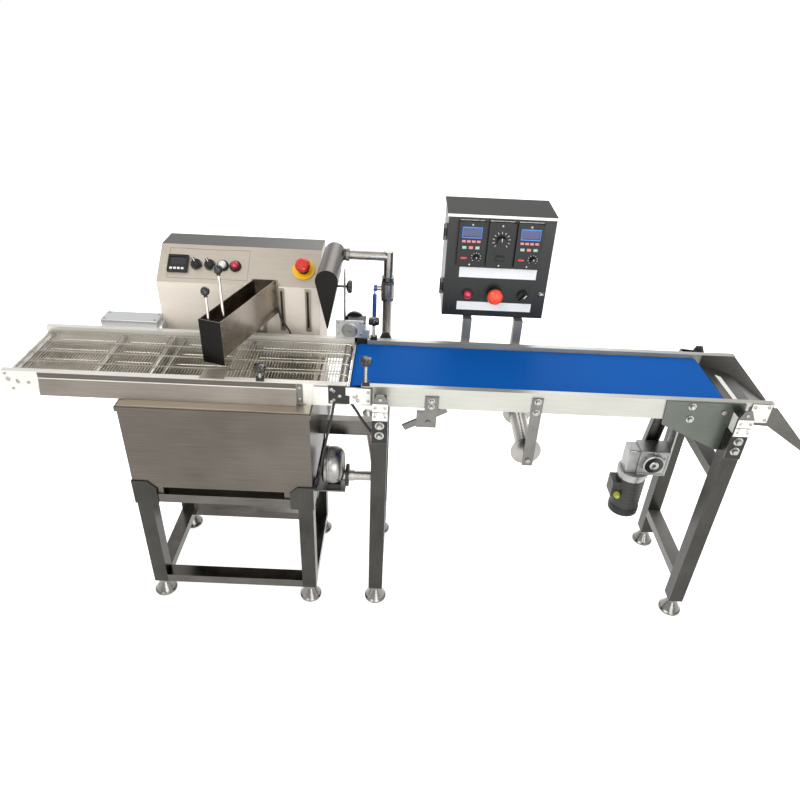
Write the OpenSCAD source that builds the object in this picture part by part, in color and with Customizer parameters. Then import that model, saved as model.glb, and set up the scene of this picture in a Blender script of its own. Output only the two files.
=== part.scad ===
// Chocolate enrober: heated tank with pump and flow box, wire-belt enrobing section and outfeed conveyor.
// Millimetres. X runs along the line from infeed to discharge, Y to the back, Z up from the floor.

/* [Line] */
// Height of the side rails' top edge above the floor
rail_top = 690; // [640:5:760]
// Clear width between the side rails
belt_gap = 215; // [195:5:240]
// Length of the enrobing section's side rails
enrober_len = 806; // [790:2:840]
// Space along the line between the two pairs of side rails
transfer_gap = 34; // [30:1:44]
// Length of the outfeed conveyor's side rails
outfeed_len = 965; // [930:5:1200]
// Depth of the enrobing section's side rails
enrober_rail_h = 58; // [54:1:64]
// Depth of the outfeed conveyor's side rails
outfeed_rail_h = 54; // [50:1:60]
// Thickness of the side rails
rail_flange = 15; // [12:1:17]
// Wall of the side rails
rail_wall = 2.5; // [2:0.5:3]

/* [Base] */
// Distance from the infeed end to the tank
tank_x = 272; // [262:2:280]
// Width of the tank and of the base frame
tank_w = 450; // [440:2:456]
// Depth of the tank from front to back
tank_d = 342; // [336:1:344]
// Gap between the base frame and the tank
tank_gap = 23; // [16:1:30]
// Thickness of the tank's sheet
tank_wall = 2; // [1.5:0.5:3]
// Height of the base frame above the floor
frame_h = 367; // [350:1:372]
// Depth of the base frame from front to back
frame_d = 308; // [280:2:320]
// Width of the square leg tube
tube = 38; // [34:1:40]
// Wall of the frame tubes
tube_wall = 2; // [1.5:0.5:3]
// Height of the frame's cross tubes
cross_h = 26; // [22:1:30]
// Width of the corner gussets
gusset_w = 60; // [50:1:70]
// Height of the levelling feet
foot_h = 48; // [40:1:56]
// Radius of the levelling feet
foot_r = 30; // [24:1:34]

/* [Cabinet] */
// Distance from the tank's left side to the cabinet
cabinet_inset = 6; // [0:1:12]
// Width of the cabinet
cabinet_w = 428; // [420:2:436]
// Distance from the near belt edge to the cabinet's front
cabinet_y = 295; // [293:1:300]
// Depth of the cabinet
cabinet_d = 166; // [150:2:190]
// Height of the cabinet's top above the floor
cabinet_top = 868; // [860:1:880]
// Height of the bend below the sloping panel
panel_z = 795; // [790:1:800]
// Depth of the sloping panel, measured level
panel_d = 85; // [80:1:95]
// Thickness of the cabinet's sheet
sheet = 2; // [1.5:0.5:2.5]

/* [Wire belt] */
// Pitch of the belt's cross bars
wire_pitch = 20; // [16:1:26]
// Thickness of the belt's wire
wire_t = 2; // [1.5:0.1:2.2]
// Number of open spaces across the belt
wire_spaces = 4; // [3:1:5]
// Depth of the belts' top below the rails' top edge
belt_drop = 10; // [8:1:12]
// Radius of the rollers inside the wire belt
wire_roller_r = 10; // [8.5:0.5:10]
// Radius of every roller's journal
journal_r = 6; // [5:0.5:6.5]

/* [Flow box] */
// Distance from the infeed end to the front of the flow box
flow_x = 487; // [480:1:500]
// Distance from the near belt edge to the front of the flow box
flow_y = 36; // [30:1:44]
// Angle between the flow box and the cross direction
flow_turn = 17.3; // [14:0.1:19]
// Width of the flow box
flow_w = 56; // [50:1:62]
// Height of the flow box's top above the rails
flow_top = 125; // [115:1:135]
// Height of the flow box's underside above the rails
flow_low = 32; // [28:1:40]

/* [Air] */
// Outer radius of the air pipe
pipe_r = 12.7; // [11:0.1:13]
// Length of the air knife
knife_len = 200; // [180:2:210]
// Radius of the air knife's round back
knife_r = 27; // [25:0.5:28]
// Height of the air pipe's axis above the rails
pipe_rise = 186; // [180:1:195]

/* [Outfeed] */
// Radius of the outfeed conveyor's end rollers
end_roller_r = 14; // [12:0.5:14]
// Thickness of the conveyor belt
belt_t = 2; // [1.5:0.1:2.4]
// Distance from the rails' right end to the end roller's axis
end_roller_inset = 113; // [110:1:120]
// Distance from the outfeed rails' left end to the left legs
leg_inset_l = 46; // [44:1:52]
// Distance from the outfeed rails' right end to the right legs
leg_inset_r = 76; // [70:1:76]
// Length of the discharge chute past the rails
chute_reach = 132; // [110:2:160]
// Drop of the discharge chute's lip below the rails' top
chute_drop = 145; // [130:1:160]
// Radius of the spool's side discs
spool_r = 38; // [34:1:42]

/* [Control box] */
// Distance from the outfeed rails' left end to the control box
box_x = 190; // [170:5:240]
// Width of the control box
box_w = 261; // [255:1:270]
// Height of the control box
box_h = 262; // [256:1:280]
// Depth of the control box behind its door
box_d = 147; // [130:1:160]
// Height of the control box above the rails
box_rise = 66; // [60:1:90]

/* [Fits] */
// Clearance of a running shaft in its bore
run_clear = 0.05; // [0.02:0.01:0.08]
// Clearance between parts that pass each other
pass_clear = 0.5; // [0.3:0.1:0.6]

/* [Hidden] */
$fn = 48;

steel = "#c9c5bb";
bright = "#dedcd6";
dark_steel = "#6b6a67";
black = "#232323";

// Line positions
outfeed_x = enrober_len + transfer_gap;
line_end = outfeed_x + outfeed_len;
total_len = line_end + chute_reach;
leg_y = -54 + tube / 2;
frame_y = -54;
y_front = leg_y - foot_r;
y_back = cabinet_y + cabinet_d;
mid_x = total_len / 2;
mid_y = (y_front + y_back) / 2;
rail_out_near = -rail_flange;
rail_out_far = belt_gap + rail_flange;
belt_side = 4;
belt_w = belt_gap - 2 * belt_side;

// Wire belt levels
belt_top = rail_top - belt_drop;
wire_axis_z = belt_top - wire_t - pass_clear - wire_roller_r;
wire_turn_in = wire_roller_r + pass_clear;
wire_nose = 14;
infeed_roller_x = wire_nose;
transfer_roller_x = enrober_len - wire_nose;
drive_roller_x = 202;
support_roller_x = 332;
plate_t = 4;
rod_r = 2.5;
rod_x = enrober_len + 3.5;
rod_z = belt_top - 5.5;

// Base frame
leg_x = [tank_x + tube / 2, tank_x + tank_w - tube / 2];
base_leg_y = [frame_y + tube / 2, frame_y + frame_d - tube / 2];
gusset_t = 3;
gusset_over = 19;
tank_y = frame_y;
vat_wall = 2;
tank_z = frame_h + tank_gap;
tank_top = rail_top - enrober_rail_h - vat_wall;
tank_h = tank_top - tank_z;

// Pump, on the centre line of the flow box
flow_dir = [sin(flow_turn), cos(flow_turn)];
riser_r = 16;
riser_y = 255;
riser_x = flow_x + (riser_y - flow_y) * tan(flow_turn);
pump_z = tank_z + 80;
pump_r = 38;
pump_len = 44;
pump_shaft_r = 8;
vat_gap = 10;

// Cabinet and its sloping panel
cabinet_x = tank_x + cabinet_inset;
panel_angle = atan2(cabinet_top - panel_z, panel_d);
panel_s = 52;
controller_at = 52;
selector_at = [100, 136];
lamp_at = [170, 203];
estop_at = 384;
handle_turn = 35;

// Flow box levels
flow_z0 = rail_top + flow_low;
flow_z1 = rail_top + flow_top;
flow_wall = 2;

// Air line
knife_x = 744;
knife_y1 = 350;
pipe_y = 335;
pipe_z = rail_top + pipe_rise;
pipe_x = outfeed_x + leg_inset_l;
knife_tip = rail_top + 62;
elbow_r = 34;
blower_y = 40;
blower_r = 66;
blower_z = frame_h - 21 + blower_r;
blower_x = tank_x + tank_w + 26;
outlet_z = blower_z - 33;

// Outfeed conveyor
end_x = line_end - end_roller_inset;
nose_x = outfeed_x - 14;
out_axis_z = belt_top - belt_t - pass_clear - end_roller_r;
out_turn_in = end_roller_r + pass_clear;
conveyor_leg_x = [outfeed_x + leg_inset_l, line_end - leg_inset_r];
conveyor_leg_y = [leg_y + 5, belt_gap + rail_flange + 15];
conveyor_leg_top = rail_top - 70;
chain_y = rail_out_far + plate_t + 6;
motor_axis = [line_end - 145, rail_top - 336];
chain_in = 14;
chain_t = 4;
chain_w = 7;
spool_x = outfeed_x + 414;
spool_z = rail_top - 192;
scraper_x = outfeed_x + 160;
scraper_z = rail_top - 92;
arm_w = 26;

// Control box
box_front = rail_out_far + 22;
door_t = 3;
box_left = outfeed_x + box_x;
box_z = rail_top + box_rise;
hinge_r = 5;
pin_r = 2.5;
hinge_at = [60, 200];
module_w = 64;
dial_at = [73, box_w / 2, box_w - 48];
module_at = [26, (box_w - module_w) / 2, box_w - 93];
button_at = [62, box_w / 2, box_w - 58];
module_h = 112;
module_z = 138;
module_t = 12;

// Moves the line's own frame to the middle of the floor under the machine
module site() translate([-mid_x, -mid_y, 0]) children();

// Cylinder along Y from a point on its axis
module ycyl(x, y, z, r, len) translate([x, y, z]) rotate([-90, 0, 0]) cylinder(r = r, h = len);

// Cylinder along X from a point on its axis
module xcyl(x, y, z, r, len) translate([x, y, z]) rotate([0, 90, 0]) cylinder(r = r, h = len);

// Plate of an XZ outline, from y to y + t
module xz_plate(points, y, t) translate([0, y + t, 0]) rotate([90, 0, 0]) linear_extrude(t) polygon(points);

// Prism of a YZ outline, from x to x + len
module yz_prism(points, x, len)
    translate([x, 0, 0]) rotate([90, 0, 90]) linear_extrude(len) polygon(points);

// Rectangular tube, open along the named axis
module box_tube(at, size, along, wall = tube_wall) {
    inner = [for (i = [0:2]) i == along ? size[i] + 2 : size[i] - 2 * wall];
    start = [for (i = [0:2]) i == along ? -1 : wall];
    translate(at) difference() {
        cube(size);
        translate(start) cube(inner);
    }
}

// Roller along Y with journals through both rails
module roller(x, z, r, y0, y1) {
    ycyl(x, 2, z, r, belt_gap - 4);
    ycyl(x, y0, z, journal_r, y1 - y0);
}

// Base frame
module base_legs() color(dark_steel) site()
    for (i = [0:1], j = [0:1]) {
        translate([leg_x[i], base_leg_y[j], 0]) mirror([i, 0, 0]) mirror([0, j, 0]) base_leg(j == 0);
    }

// One leg with its closed foot end and the corner gusset that holds the tank
module base_leg(front) {
    half = tube / 2;
    difference() {
        translate([-half, -half, foot_h]) cube([tube, tube, frame_h - foot_h]);
        translate([-half + tube_wall, -half + tube_wall, foot_h + 5])
            cube([tube - 2 * tube_wall, tube - 2 * tube_wall, frame_h]);
        translate([0, 0, foot_h - 1]) cylinder(r = 6 + pass_clear, h = 10);
    }
    chamfer = 20;
    low = frame_h - cross_h - 4;
    high = tank_z + gusset_over;
    outline = [[0, low], [gusset_w, low], [gusset_w, high - chamfer], [gusset_w - chamfer, high], [0, high]];
    if (front) translate([-half - gusset_t, 0, 0]) xz_plate(outline, -half - gusset_t, gusset_t);
    translate([-half, -half, 0]) rotate([0, 0, 90]) xz_plate(outline, 0, gusset_t);
}

// Cross tubes of the base frame, the two arms under the cabinet and the link to the conveyor
module base_rails() color(dark_steel) site() {
    x0 = tank_x + tube;
    xl = tank_w - 2 * tube;
    y0 = frame_y + tube;
    yl = frame_d - 2 * tube;
    for (z = [foot_h, frame_h - cross_h]) {
        for (y = base_leg_y) box_tube([x0, y - tube / 2, z], [xl, tube, cross_h], 0);
        for (x = leg_x) box_tube([x - tube / 2, y0, z], [tube, yl, cross_h], 1);
    }
    arm_y = frame_y + frame_d;
    for (x = leg_x) box_tube([x - tube / 2, arm_y, frame_h - cross_h], [tube, y_back - arm_y, cross_h], 1);
    link_x = tank_x + tank_w;
    box_tube([link_x, 95, rail_top - 220], [conveyor_leg_x[0] - tube / 2 - link_x, 25, 44], 0);
}

// Levelling feet under all eight legs
module levelling_feet() color(bright) site() {
    for (x = leg_x, y = base_leg_y) translate([x, y, 0]) foot();
    for (x = conveyor_leg_x, y = conveyor_leg_y) translate([x, y, 0]) foot();
}

module foot() rotate_extrude() polygon([
    [0, 0], [foot_r, 0], [foot_r, 5], [foot_r - 4, 9], [13, foot_h - 14], [13, foot_h], [6, foot_h],
    [6, foot_h + 25], [0, foot_h + 25]]);

// Tank jacket with a turned rim, standing on pads
module tank_shell() color(steel) site() {
    rim = 4;
    rim_h = 12;
    difference() {
        union() {
            translate([tank_x, tank_y, tank_z]) cube([tank_w, tank_d, tank_h]);
            translate([tank_x - rim, tank_y - rim, tank_top - rim_h])
                cube([tank_w + 2 * rim, tank_d + 2 * rim, rim_h]);
        }
        translate([tank_x + tank_wall, tank_y + tank_wall, tank_z + tank_wall])
            cube([tank_w - 2 * tank_wall, tank_d - 2 * tank_wall, tank_h]);
        ycyl(riser_x, tank_y + tank_d - 10, pump_z, pump_shaft_r + pass_clear, 20);
    }
    pad = 30;
    for (x = [leg_x[0] + tube, leg_x[1] - tube], y = base_leg_y)
        translate([x - pad / 2, y - pad / 2, frame_h]) cube([pad, pad, tank_z - frame_h]);
}

// Chocolate vat with a V floor and a flange on the tank's rim
module inner_vat() color(bright) site() {
    x0 = tank_x + vat_gap;
    xl = tank_w - 2 * vat_gap;
    y0 = tank_y + vat_gap;
    y1 = tank_y + tank_d - vat_gap;
    floor_z = tank_z + 36;
    side_z = floor_z + 60;
    ym = riser_y - 20;
    yw = 70;
    difference() {
        union() {
            yz_prism([[y0, side_z], [ym - yw / 2, floor_z], [y1, floor_z], [y1, tank_top], [y0, tank_top]], x0, xl);
            translate([tank_x, tank_y, tank_top]) cube([tank_w, tank_d, vat_wall]);
        }
        yz_prism([[y0 + vat_wall, side_z + vat_wall], [ym - yw / 2, floor_z + vat_wall],
            [y1 - vat_wall, floor_z + vat_wall], [y1 - vat_wall, tank_top + 10], [y0 + vat_wall, tank_top + 10]],
            x0 + vat_wall, xl - 2 * vat_wall);
        ycyl(riser_x, y1 - 10, pump_z, pump_shaft_r + pass_clear, 20);
    }
}

// Pair of rod heating elements on clips below the vat
module heater() color(dark_steel) site() {
    rod = 5;
    spread = 40;
    z = tank_z + tank_wall + 14;
    x0 = tank_x + 60;
    x1 = tank_x + tank_w - 60;
    y = tank_y + tank_d / 2;
    for (s = [-1, 1]) xcyl(x0, y + s * spread, z, rod, x1 - x0);
    for (x = [x0 + 30, x1 - 40])
        translate([x, y - spread - 9, tank_z + tank_wall]) cube([10, 2 * spread + 18, 14]);
}

// Pump body with the riser to the flow box
module pump_casing() color(bright) site() {
    y1 = tank_y + tank_d - vat_gap - vat_wall;
    y0 = y1 - pump_len;
    difference() {
        union() {
            ycyl(riser_x, y0, pump_z, pump_r, pump_len);
            translate([riser_x, riser_y, pump_z]) cylinder(r = riser_r, h = flow_z0 - pump_z);
        }
        ycyl(riser_x, y0 + 4, pump_z, pump_r - 3, pump_len - 8);
        ycyl(riser_x, y1 - 5, pump_z, pump_shaft_r + run_clear, 10);
        ycyl(riser_x, y0 - 1, pump_z, 10, 10);
        translate([riser_x, riser_y, pump_z]) cylinder(r = riser_r - 2, h = flow_z0);
    }
}

// Vaned pump rotor on its shaft
module pump_rotor() color(steel) site() {
    y1 = tank_y + tank_d - vat_gap - vat_wall;
    y0 = y1 - pump_len + 4 + pass_clear;
    len = pump_len - 8 - 2 * pass_clear;
    ycyl(riser_x, y0, pump_z, 14, len);
    ycyl(riser_x, y0, pump_z, pump_shaft_r, cabinet_y + 60 - y0);
    for (a = [0:60:300])
        translate([riser_x, y0, pump_z]) rotate([0, a, 0]) translate([0, 0, -2]) cube([pump_r - 4, len, 4]);
}

// Pump motor inside the cabinet
module pump_motor() color("#5f6a72") site() {
    y0 = cabinet_y + sheet;
    difference() {
        union() {
            ycyl(riser_x, y0, pump_z, 56, 8);
            ycyl(riser_x, y0 + 8, pump_z, 44, 104);
            translate([riser_x - 28, y0 + 40, pump_z + 30]) cube([56, 50, 34]);
        }
        ycyl(riser_x, y0 - 1, pump_z, pump_shaft_r + run_clear, 62);
    }
}

// Sheet cabinet with a sloping instrument panel and two upright strips on its front
module cabinet() color(steel) site() {
    y0 = cabinet_y;
    y1 = y_back;
    ys = cabinet_y + panel_d;
    slope_in = sheet / cos(panel_angle) - sheet;
    difference() {
        yz_prism([[y0, frame_h], [y1, frame_h], [y1, cabinet_top], [ys, cabinet_top], [y0, panel_z]],
            cabinet_x, cabinet_w);
        yz_prism([[y0 + sheet, frame_h + sheet], [y1 - sheet, frame_h + sheet], [y1 - sheet, cabinet_top - sheet],
            [ys + sheet / 2, cabinet_top - sheet], [y0 + sheet, panel_z - slope_in]],
            cabinet_x + sheet, cabinet_w - 2 * sheet);
        ycyl(riser_x, y0 - 1, pump_z, pump_shaft_r + pass_clear, 10);
    }
    for (x = [600, 669]) difference() {
        translate([x, y0 - 6, rail_top - 20]) cube([14, 6, panel_z - rail_top + 16]);
        translate([x + 4, y0 - 7, rail_top - 10]) cube([6, 4, panel_z - rail_top]);
    }
}

// Places its children on the sloping panel, x from the cabinet's left, s up the slope
module on_panel(x, s) translate([cabinet_x + x, cabinet_y, panel_z])
    rotate([panel_angle, 0, 0]) translate([0, s, 0]) children();

// Temperature controller with a sunk display
module temp_controller() color(black) site() on_panel(controller_at, panel_s) difference() {
    translate([-26, -24, 0]) cube([52, 48, 9]);
    translate([-21, -4, 6]) cube([42, 22, 4]);
}

// Round bezel that a knob turns in
module bezel(r, bore, h) difference() {
    cylinder(r = r, h = h);
    translate([0, 0, 1]) cylinder(r = bore, h = h);
}

// Bezels and lamps on the sloping panel
module panel_fittings() color(black) site() {
    for (x = selector_at) on_panel(x, panel_s) bezel(15, 10, 6);
    for (x = lamp_at) on_panel(x, panel_s) lamp();
    on_panel(estop_at, panel_s) translate([0, 0, 3]) bezel(15, 11, 12);
}

module lamp() rotate_extrude() polygon([
    [0, 0], [13, 0], [13, 4], [11, 6], [10, 6], [10, 11], [8.5, 14], [5, 16], [0, 16.5]]);

// Round backing plate of the stop button
module estop_plate() color("#f2c100") site() on_panel(estop_at, panel_s) cylinder(r = 30, h = 3);

// Two-position selector knob
module selector(turn) {
    translate([0, 0, 1 + pass_clear]) cylinder(r = 10 - run_clear, h = 10);
    translate([0, 0, 7]) cylinder(r = 13, h = 4);
    rotate([0, 0, turn]) translate([-4, -12, 10]) cube([8, 24, 11]);
}
module selector_a() color(black) site() on_panel(selector_at[0], panel_s) selector(handle_turn);
module selector_b() color(black) site() on_panel(selector_at[1], panel_s) selector(handle_turn);

// Mushroom stop button with a stem in its collar
module mushroom() rotate_extrude() polygon([
    [0, 6], [11 - run_clear, 6], [11 - run_clear, 17], [18, 17], [20, 19], [20, 23], [18, 28], [13, 31], [0, 32]]);
module cabinet_estop() color("#d8281e") site() on_panel(estop_at, panel_s) translate([0, 0, 3]) mushroom();

// Round cable through a list of points, with a ball at each bend
module cable_run(points, r) for (i = [0:len(points) - 2]) {
    d = points[i + 1] - points[i];
    translate(points[i]) rotate([0, acos(d[2] / norm(d)), atan2(d[1], d[0])]) cylinder(r = r, h = norm(d));
    if (i > 0) translate(points[i]) sphere(r = r);
}

// Probe cable from the flow box into the vat, and the two drive cables under the transfer
module cables() color(black) site() {
    side = flow_x + 108;
    y = rail_out_far + 10;
    cable_run([[side + 1, y + 43, rail_top + 45], [side + 7, y + 34, rail_top + 39], [side + 14, y + 21, rail_top + 26],
        [side + 30, y + 9, rail_top + 10], [side + 41, y, rail_top - 6], [side + 42, y, rail_top - 90]], 2.5);
    base = tank_x + tank_w + gusset_t + 4;
    top = rail_top - enrober_rail_h - 5;
    cable_run([[base + 46, rail_out_near - 1, top], [base + 40, rail_out_near, top - 30],
        [base + 16, rail_out_near - 4, top - 146], [base + 5, rail_out_near - 8, top - 225],
        [base, rail_out_near - 10, frame_h + 20]], 3.2);
    leg = conveyor_leg_x[0] - tube / 2;
    cable_run([[leg - 49, rail_out_near + 2, top + 11], [leg - 37, rail_out_near + 2, top - 10],
        [leg - 24, rail_out_near + 1, top - 34], [leg - 3, rail_out_near - 5, top - 62]], 3.2);
}

// Side rail, a flat rectangular tube beside the belt
module side_rail(x, len, top, h, far)
    box_tube([x, far ? belt_gap : -rail_flange, top - h], [len, rail_flange, h], 0, rail_wall);

// Both side rails of the enrobing section, with journal bores
module enrober_rails() color(bright) site() difference() {
    for (far = [false, true]) side_rail(0, enrober_len, rail_top, enrober_rail_h, far);
    for (x = [infeed_roller_x, drive_roller_x, support_roller_x, transfer_roller_x])
        ycyl(x, -rail_flange - 1, wire_axis_z, journal_r + run_clear, belt_gap + 2 * rail_flange + 2);
}

// Folded drip cover on the near rail: a flat top strip and a skirt that leans out
module side_cover() color(steel) site() {
    t = 1.5;
    y = rail_out_near;
    lean = 12;
    top = rail_top - 2;
    fold = rail_top - 15;
    low = rail_top - enrober_rail_h + 1;
    yz_prism([[y, top], [y - t, top], [y - t, fold], [y - lean, low], [y - lean + t, low], [y, fold]], 86, 602);
}

// One run of the wire belt: a flat ladder of cross wires and links
module wire_run(x0, x1, z) {
    n = floor((x1 - x0 - wire_t) / wire_pitch);
    pitch = (x1 - x0 - wire_t) / n;
    space = (belt_w - wire_t) / wire_spaces;
    holes = [for (i = [0:n - 1], j = [0:wire_spaces - 1])
        [x0 + wire_t + i * pitch, belt_side + wire_t + j * space, pitch - wire_t, space - wire_t]];
    points = concat(
        [[x0, belt_side], [x1, belt_side], [x1, belt_side + belt_w], [x0, belt_side + belt_w]],
        [for (h = holes) each [[h[0], h[1]], [h[0], h[1] + h[3]], [h[0] + h[2], h[1] + h[3]], [h[0] + h[2], h[1]]]]);
    paths = [for (k = [0:len(holes)]) [4 * k, 4 * k + 1, 4 * k + 2, 4 * k + 3]];
    translate([0, 0, z]) linear_extrude(wire_t) polygon(points, paths);
}

// Turn of the wire belt round an end roller
module wire_turn(x, side) {
    space = (belt_w - wire_t) / wire_spaces;
    mid_r = wire_turn_in + wire_t / 2;
    for (j = [0:wire_spaces])
        translate([x, belt_side + j * space + wire_t, wire_axis_z]) rotate([90, 0, 0]) rotate([0, 0, side * 90])
            rotate_extrude(angle = 180) translate([wire_turn_in, 0]) square([wire_t, wire_t]);
    for (a = [22.5:33.75:157.5])
        translate([x, belt_side, wire_axis_z]) rotate([0, side * (a - 90) + (side > 0 ? 180 : 0), 0])
            ycyl(mid_r, 0, 0, wire_t * 0.4, belt_w);
}

// Wire mesh belt: upper run, return run and both turns
module wire_belt() color(bright) site() {
    gap = 0.3;
    x0 = infeed_roller_x + gap;
    x1 = transfer_roller_x - gap;
    wire_run(x0, x1, wire_axis_z + wire_turn_in);
    wire_run(x0, x1, wire_axis_z - wire_turn_in - wire_t);
    wire_turn(infeed_roller_x, 1);
    wire_turn(transfer_roller_x, -1);
}

// Rollers of the wire belt
module wire_roller(x, y1) color(steel) site()
    roller(x, wire_axis_z, wire_roller_r, rail_out_near + pass_clear, y1);
module infeed_roller() wire_roller(infeed_roller_x, rail_out_far + 3);
module support_roller() wire_roller(support_roller_x, rail_out_far + 3);
module transfer_roller() wire_roller(transfer_roller_x, rail_out_far + 3);
module wire_drive_roller() wire_roller(drive_roller_x, rail_out_far + 40);

// Pan under the infeed half of the wire belt, between the rails
module infeed_pan() color(steel) site() {
    z = rail_top - enrober_rail_h + rail_wall;
    t = 1.5;
    translate([6, 0, z]) cube([tank_x + 30, belt_gap, t]);
    translate([6, 0, z]) cube([t, belt_gap, 12]);
}

// Places its children in the flow box's own frame, u along the box from its front
module on_flow() translate([flow_x, flow_y, 0]) rotate([0, 0, -flow_turn]) children();

// Flow box: an open trough over the belt with a flange on the cabinet
module flow_box() color(dark_steel) site() {
    reach = cabinet_y - 6;
    half = flow_w / 2;
    long = (reach - flow_y) / cos(flow_turn) + 40;
    difference() {
        union() {
            on_flow() {
                translate([-half, 0, flow_z0]) cube([flow_w, long, flow_z1 - flow_z0]);
                translate([-half, 0, flow_z0 - 18]) cube([flow_w, flow_wall, 19]);
            }
        }
        on_flow() translate([-half + flow_wall, flow_wall, flow_z0 + flow_wall])
            cube([flow_w - 2 * flow_wall, long, flow_z1]);
        on_flow() translate([-half + 12, 40, flow_z0 - 1]) cube([6, 150, 10]);
        on_flow() translate([half - 18, 40, flow_z0 - 1]) cube([6, 150, 10]);
        translate([flow_x - 200, reach, flow_z0 - 40]) cube([600, 200, 400]);
        translate([riser_x, riser_y, flow_z0 - 1]) cylinder(r = riser_r - 2, h = 10);
    }
    back_x = flow_x + (reach - flow_y) * tan(flow_turn);
    translate([back_x - 34, reach, flow_z0]) cube([68, flow_wall, flow_z1 - flow_z0]);
}

// Rod with a ball knob that lifts a gate
module gate_rod(top) {
    cylinder(r = 3, h = top - 6);
    translate([0, 0, top]) sphere(r = 9);
}

// Gate behind the front plate of the flow box
module gate_front() color(black) site() on_flow() {
    translate([-20, flow_wall + 1, flow_z0 + flow_wall + 1]) cube([40, 2, 60]);
    translate([-6, flow_wall + 2 + 4, flow_z0 + 50]) gate_rod(112);
    translate([-8, flow_wall + 1, flow_z0 + 50]) cube([4, 8, 12]);
}

// Gate over the side slot of the flow box
module gate_side() color(black) site() on_flow() {
    translate([flow_w / 2 - flow_wall - 3, 24, flow_z0 + flow_wall + 1]) cube([2, 60, 60]);
    translate([flow_w / 2 - flow_wall - 9, 34, flow_z0 + 50]) gate_rod(158);
    translate([flow_w / 2 - flow_wall - 9, 32, flow_z0 + 50]) cube([7, 4, 12]);
}

// Teardrop outline with its round back at the origin and its tip below
module teardrop(r, tip) {
    circle(r = r);
    a = acos(r / tip);
    inside = 0.95;
    x = inside * r * sin(a);
    z = inside * r * cos(a);
    polygon([[x, -z], [-x, -z], [-1.5, -tip], [1.5, -tip]]);
}

// Air knife: a hollow teardrop tube that swivels on the air pipe
module air_knife() color(steel) site() {
    y0 = knife_y1 - knife_len;
    tip = pipe_z - knife_tip;
    difference() {
        union() {
            translate([knife_x, knife_y1, pipe_z]) rotate([90, 0, 0]) linear_extrude(knife_len)
                teardrop(knife_r, tip);
            xcyl(knife_x, pipe_y, pipe_z, pipe_r + 3, knife_r + 12);
            xcyl(knife_x, y0 + 97, pipe_z - 52, 3, 46);
        }
        translate([knife_x, knife_y1 - 3, pipe_z]) rotate([90, 0, 0]) linear_extrude(knife_len - 6)
            teardrop(knife_r - 2, tip - 10);
        translate([knife_x - 0.6, y0 + 10, knife_tip - 1]) cube([1.2, knife_len - 20, 40]);
        xcyl(knife_x, pipe_y, pipe_z, pipe_r + run_clear, knife_r + 20);
    }
}

// Stainless air pipe from the blower to the knife, with the ball valve's body
module air_pipe() color(bright) site() {
    x_low = [blower_x + 70, pipe_x - 4, pipe_x - 50];
    y_run = [blower_y, blower_y, pipe_y];
    run = [x_low[2] - x_low[1], pipe_y - blower_y];
    xcyl(x_low[0], blower_y, outlet_z, pipe_r, x_low[1] - x_low[0]);
    translate([x_low[1], blower_y, outlet_z]) rotate([0, 0, -atan2(run[0], run[1])]) rotate([-90, 0, 0])
        cylinder(r = pipe_r, h = norm(run));
    for (i = [1:2]) translate([x_low[i], y_run[i], outlet_z]) sphere(r = pipe_r + 2);
    xcyl(x_low[2], pipe_y, outlet_z, pipe_r, pipe_x - x_low[2]);
    translate([pipe_x, pipe_y, outlet_z]) sphere(r = pipe_r + 2);
    translate([pipe_x, pipe_y, outlet_z]) cylinder(r = pipe_r, h = pipe_z - elbow_r - outlet_z);
    translate([pipe_x - elbow_r, pipe_y, pipe_z - elbow_r]) rotate([90, 0, 0])
        rotate_extrude(angle = 90) translate([elbow_r, 0]) circle(r = pipe_r);
    xcyl(knife_x + knife_r - 6, pipe_y, pipe_z, pipe_r, pipe_x - elbow_r - knife_x - knife_r + 6);
    valve_z = pipe_z - 96;
    for (dz = [-26, 20]) translate([pipe_x, pipe_y, valve_z + dz]) cylinder(r = 19, h = 10, $fn = 6);
    translate([pipe_x, pipe_y, valve_z - 18]) cylinder(r = 18, h = 40);
    xcyl(pipe_x - 28, pipe_y, valve_z + 6, 7, 20);
}

// Ball valve lever on its stem
module valve_lever() color("#1c4f9e") site() {
    z = pipe_z - 90;
    xcyl(pipe_x - 36, pipe_y, z, 9, 8 - pass_clear);
    translate([pipe_x - 36, pipe_y - 7, z - 100]) cube([3, 14, 100]);
}

// Blower on a shelf beside the base frame
module blower() color("#b9bbbd") site() {
    x = blower_x;
    translate([x, blower_y, blower_z]) rotate([0, 90, 0]) rotate_extrude() polygon([
        [0, -10], [34, -10], [34, 0], [blower_r - 8, 0], [blower_r, 8], [blower_r, 44], [blower_r - 14, 58],
        [40, 62], [0, 62]]);
    xcyl(x + 60, blower_y, outlet_z, 22, 10);
    side = tank_x + tank_w;
    translate([side, blower_y - 30, frame_h - cross_h - 20]) cube([4, 60, cross_h + 18]);
    translate([side, blower_y - 30, frame_h - 23]) cube([x + 50 - side, 60, 4]);
    translate([x + 8, blower_y - 30, frame_h - 20]) cube([36, 60, 14]);
}

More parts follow.
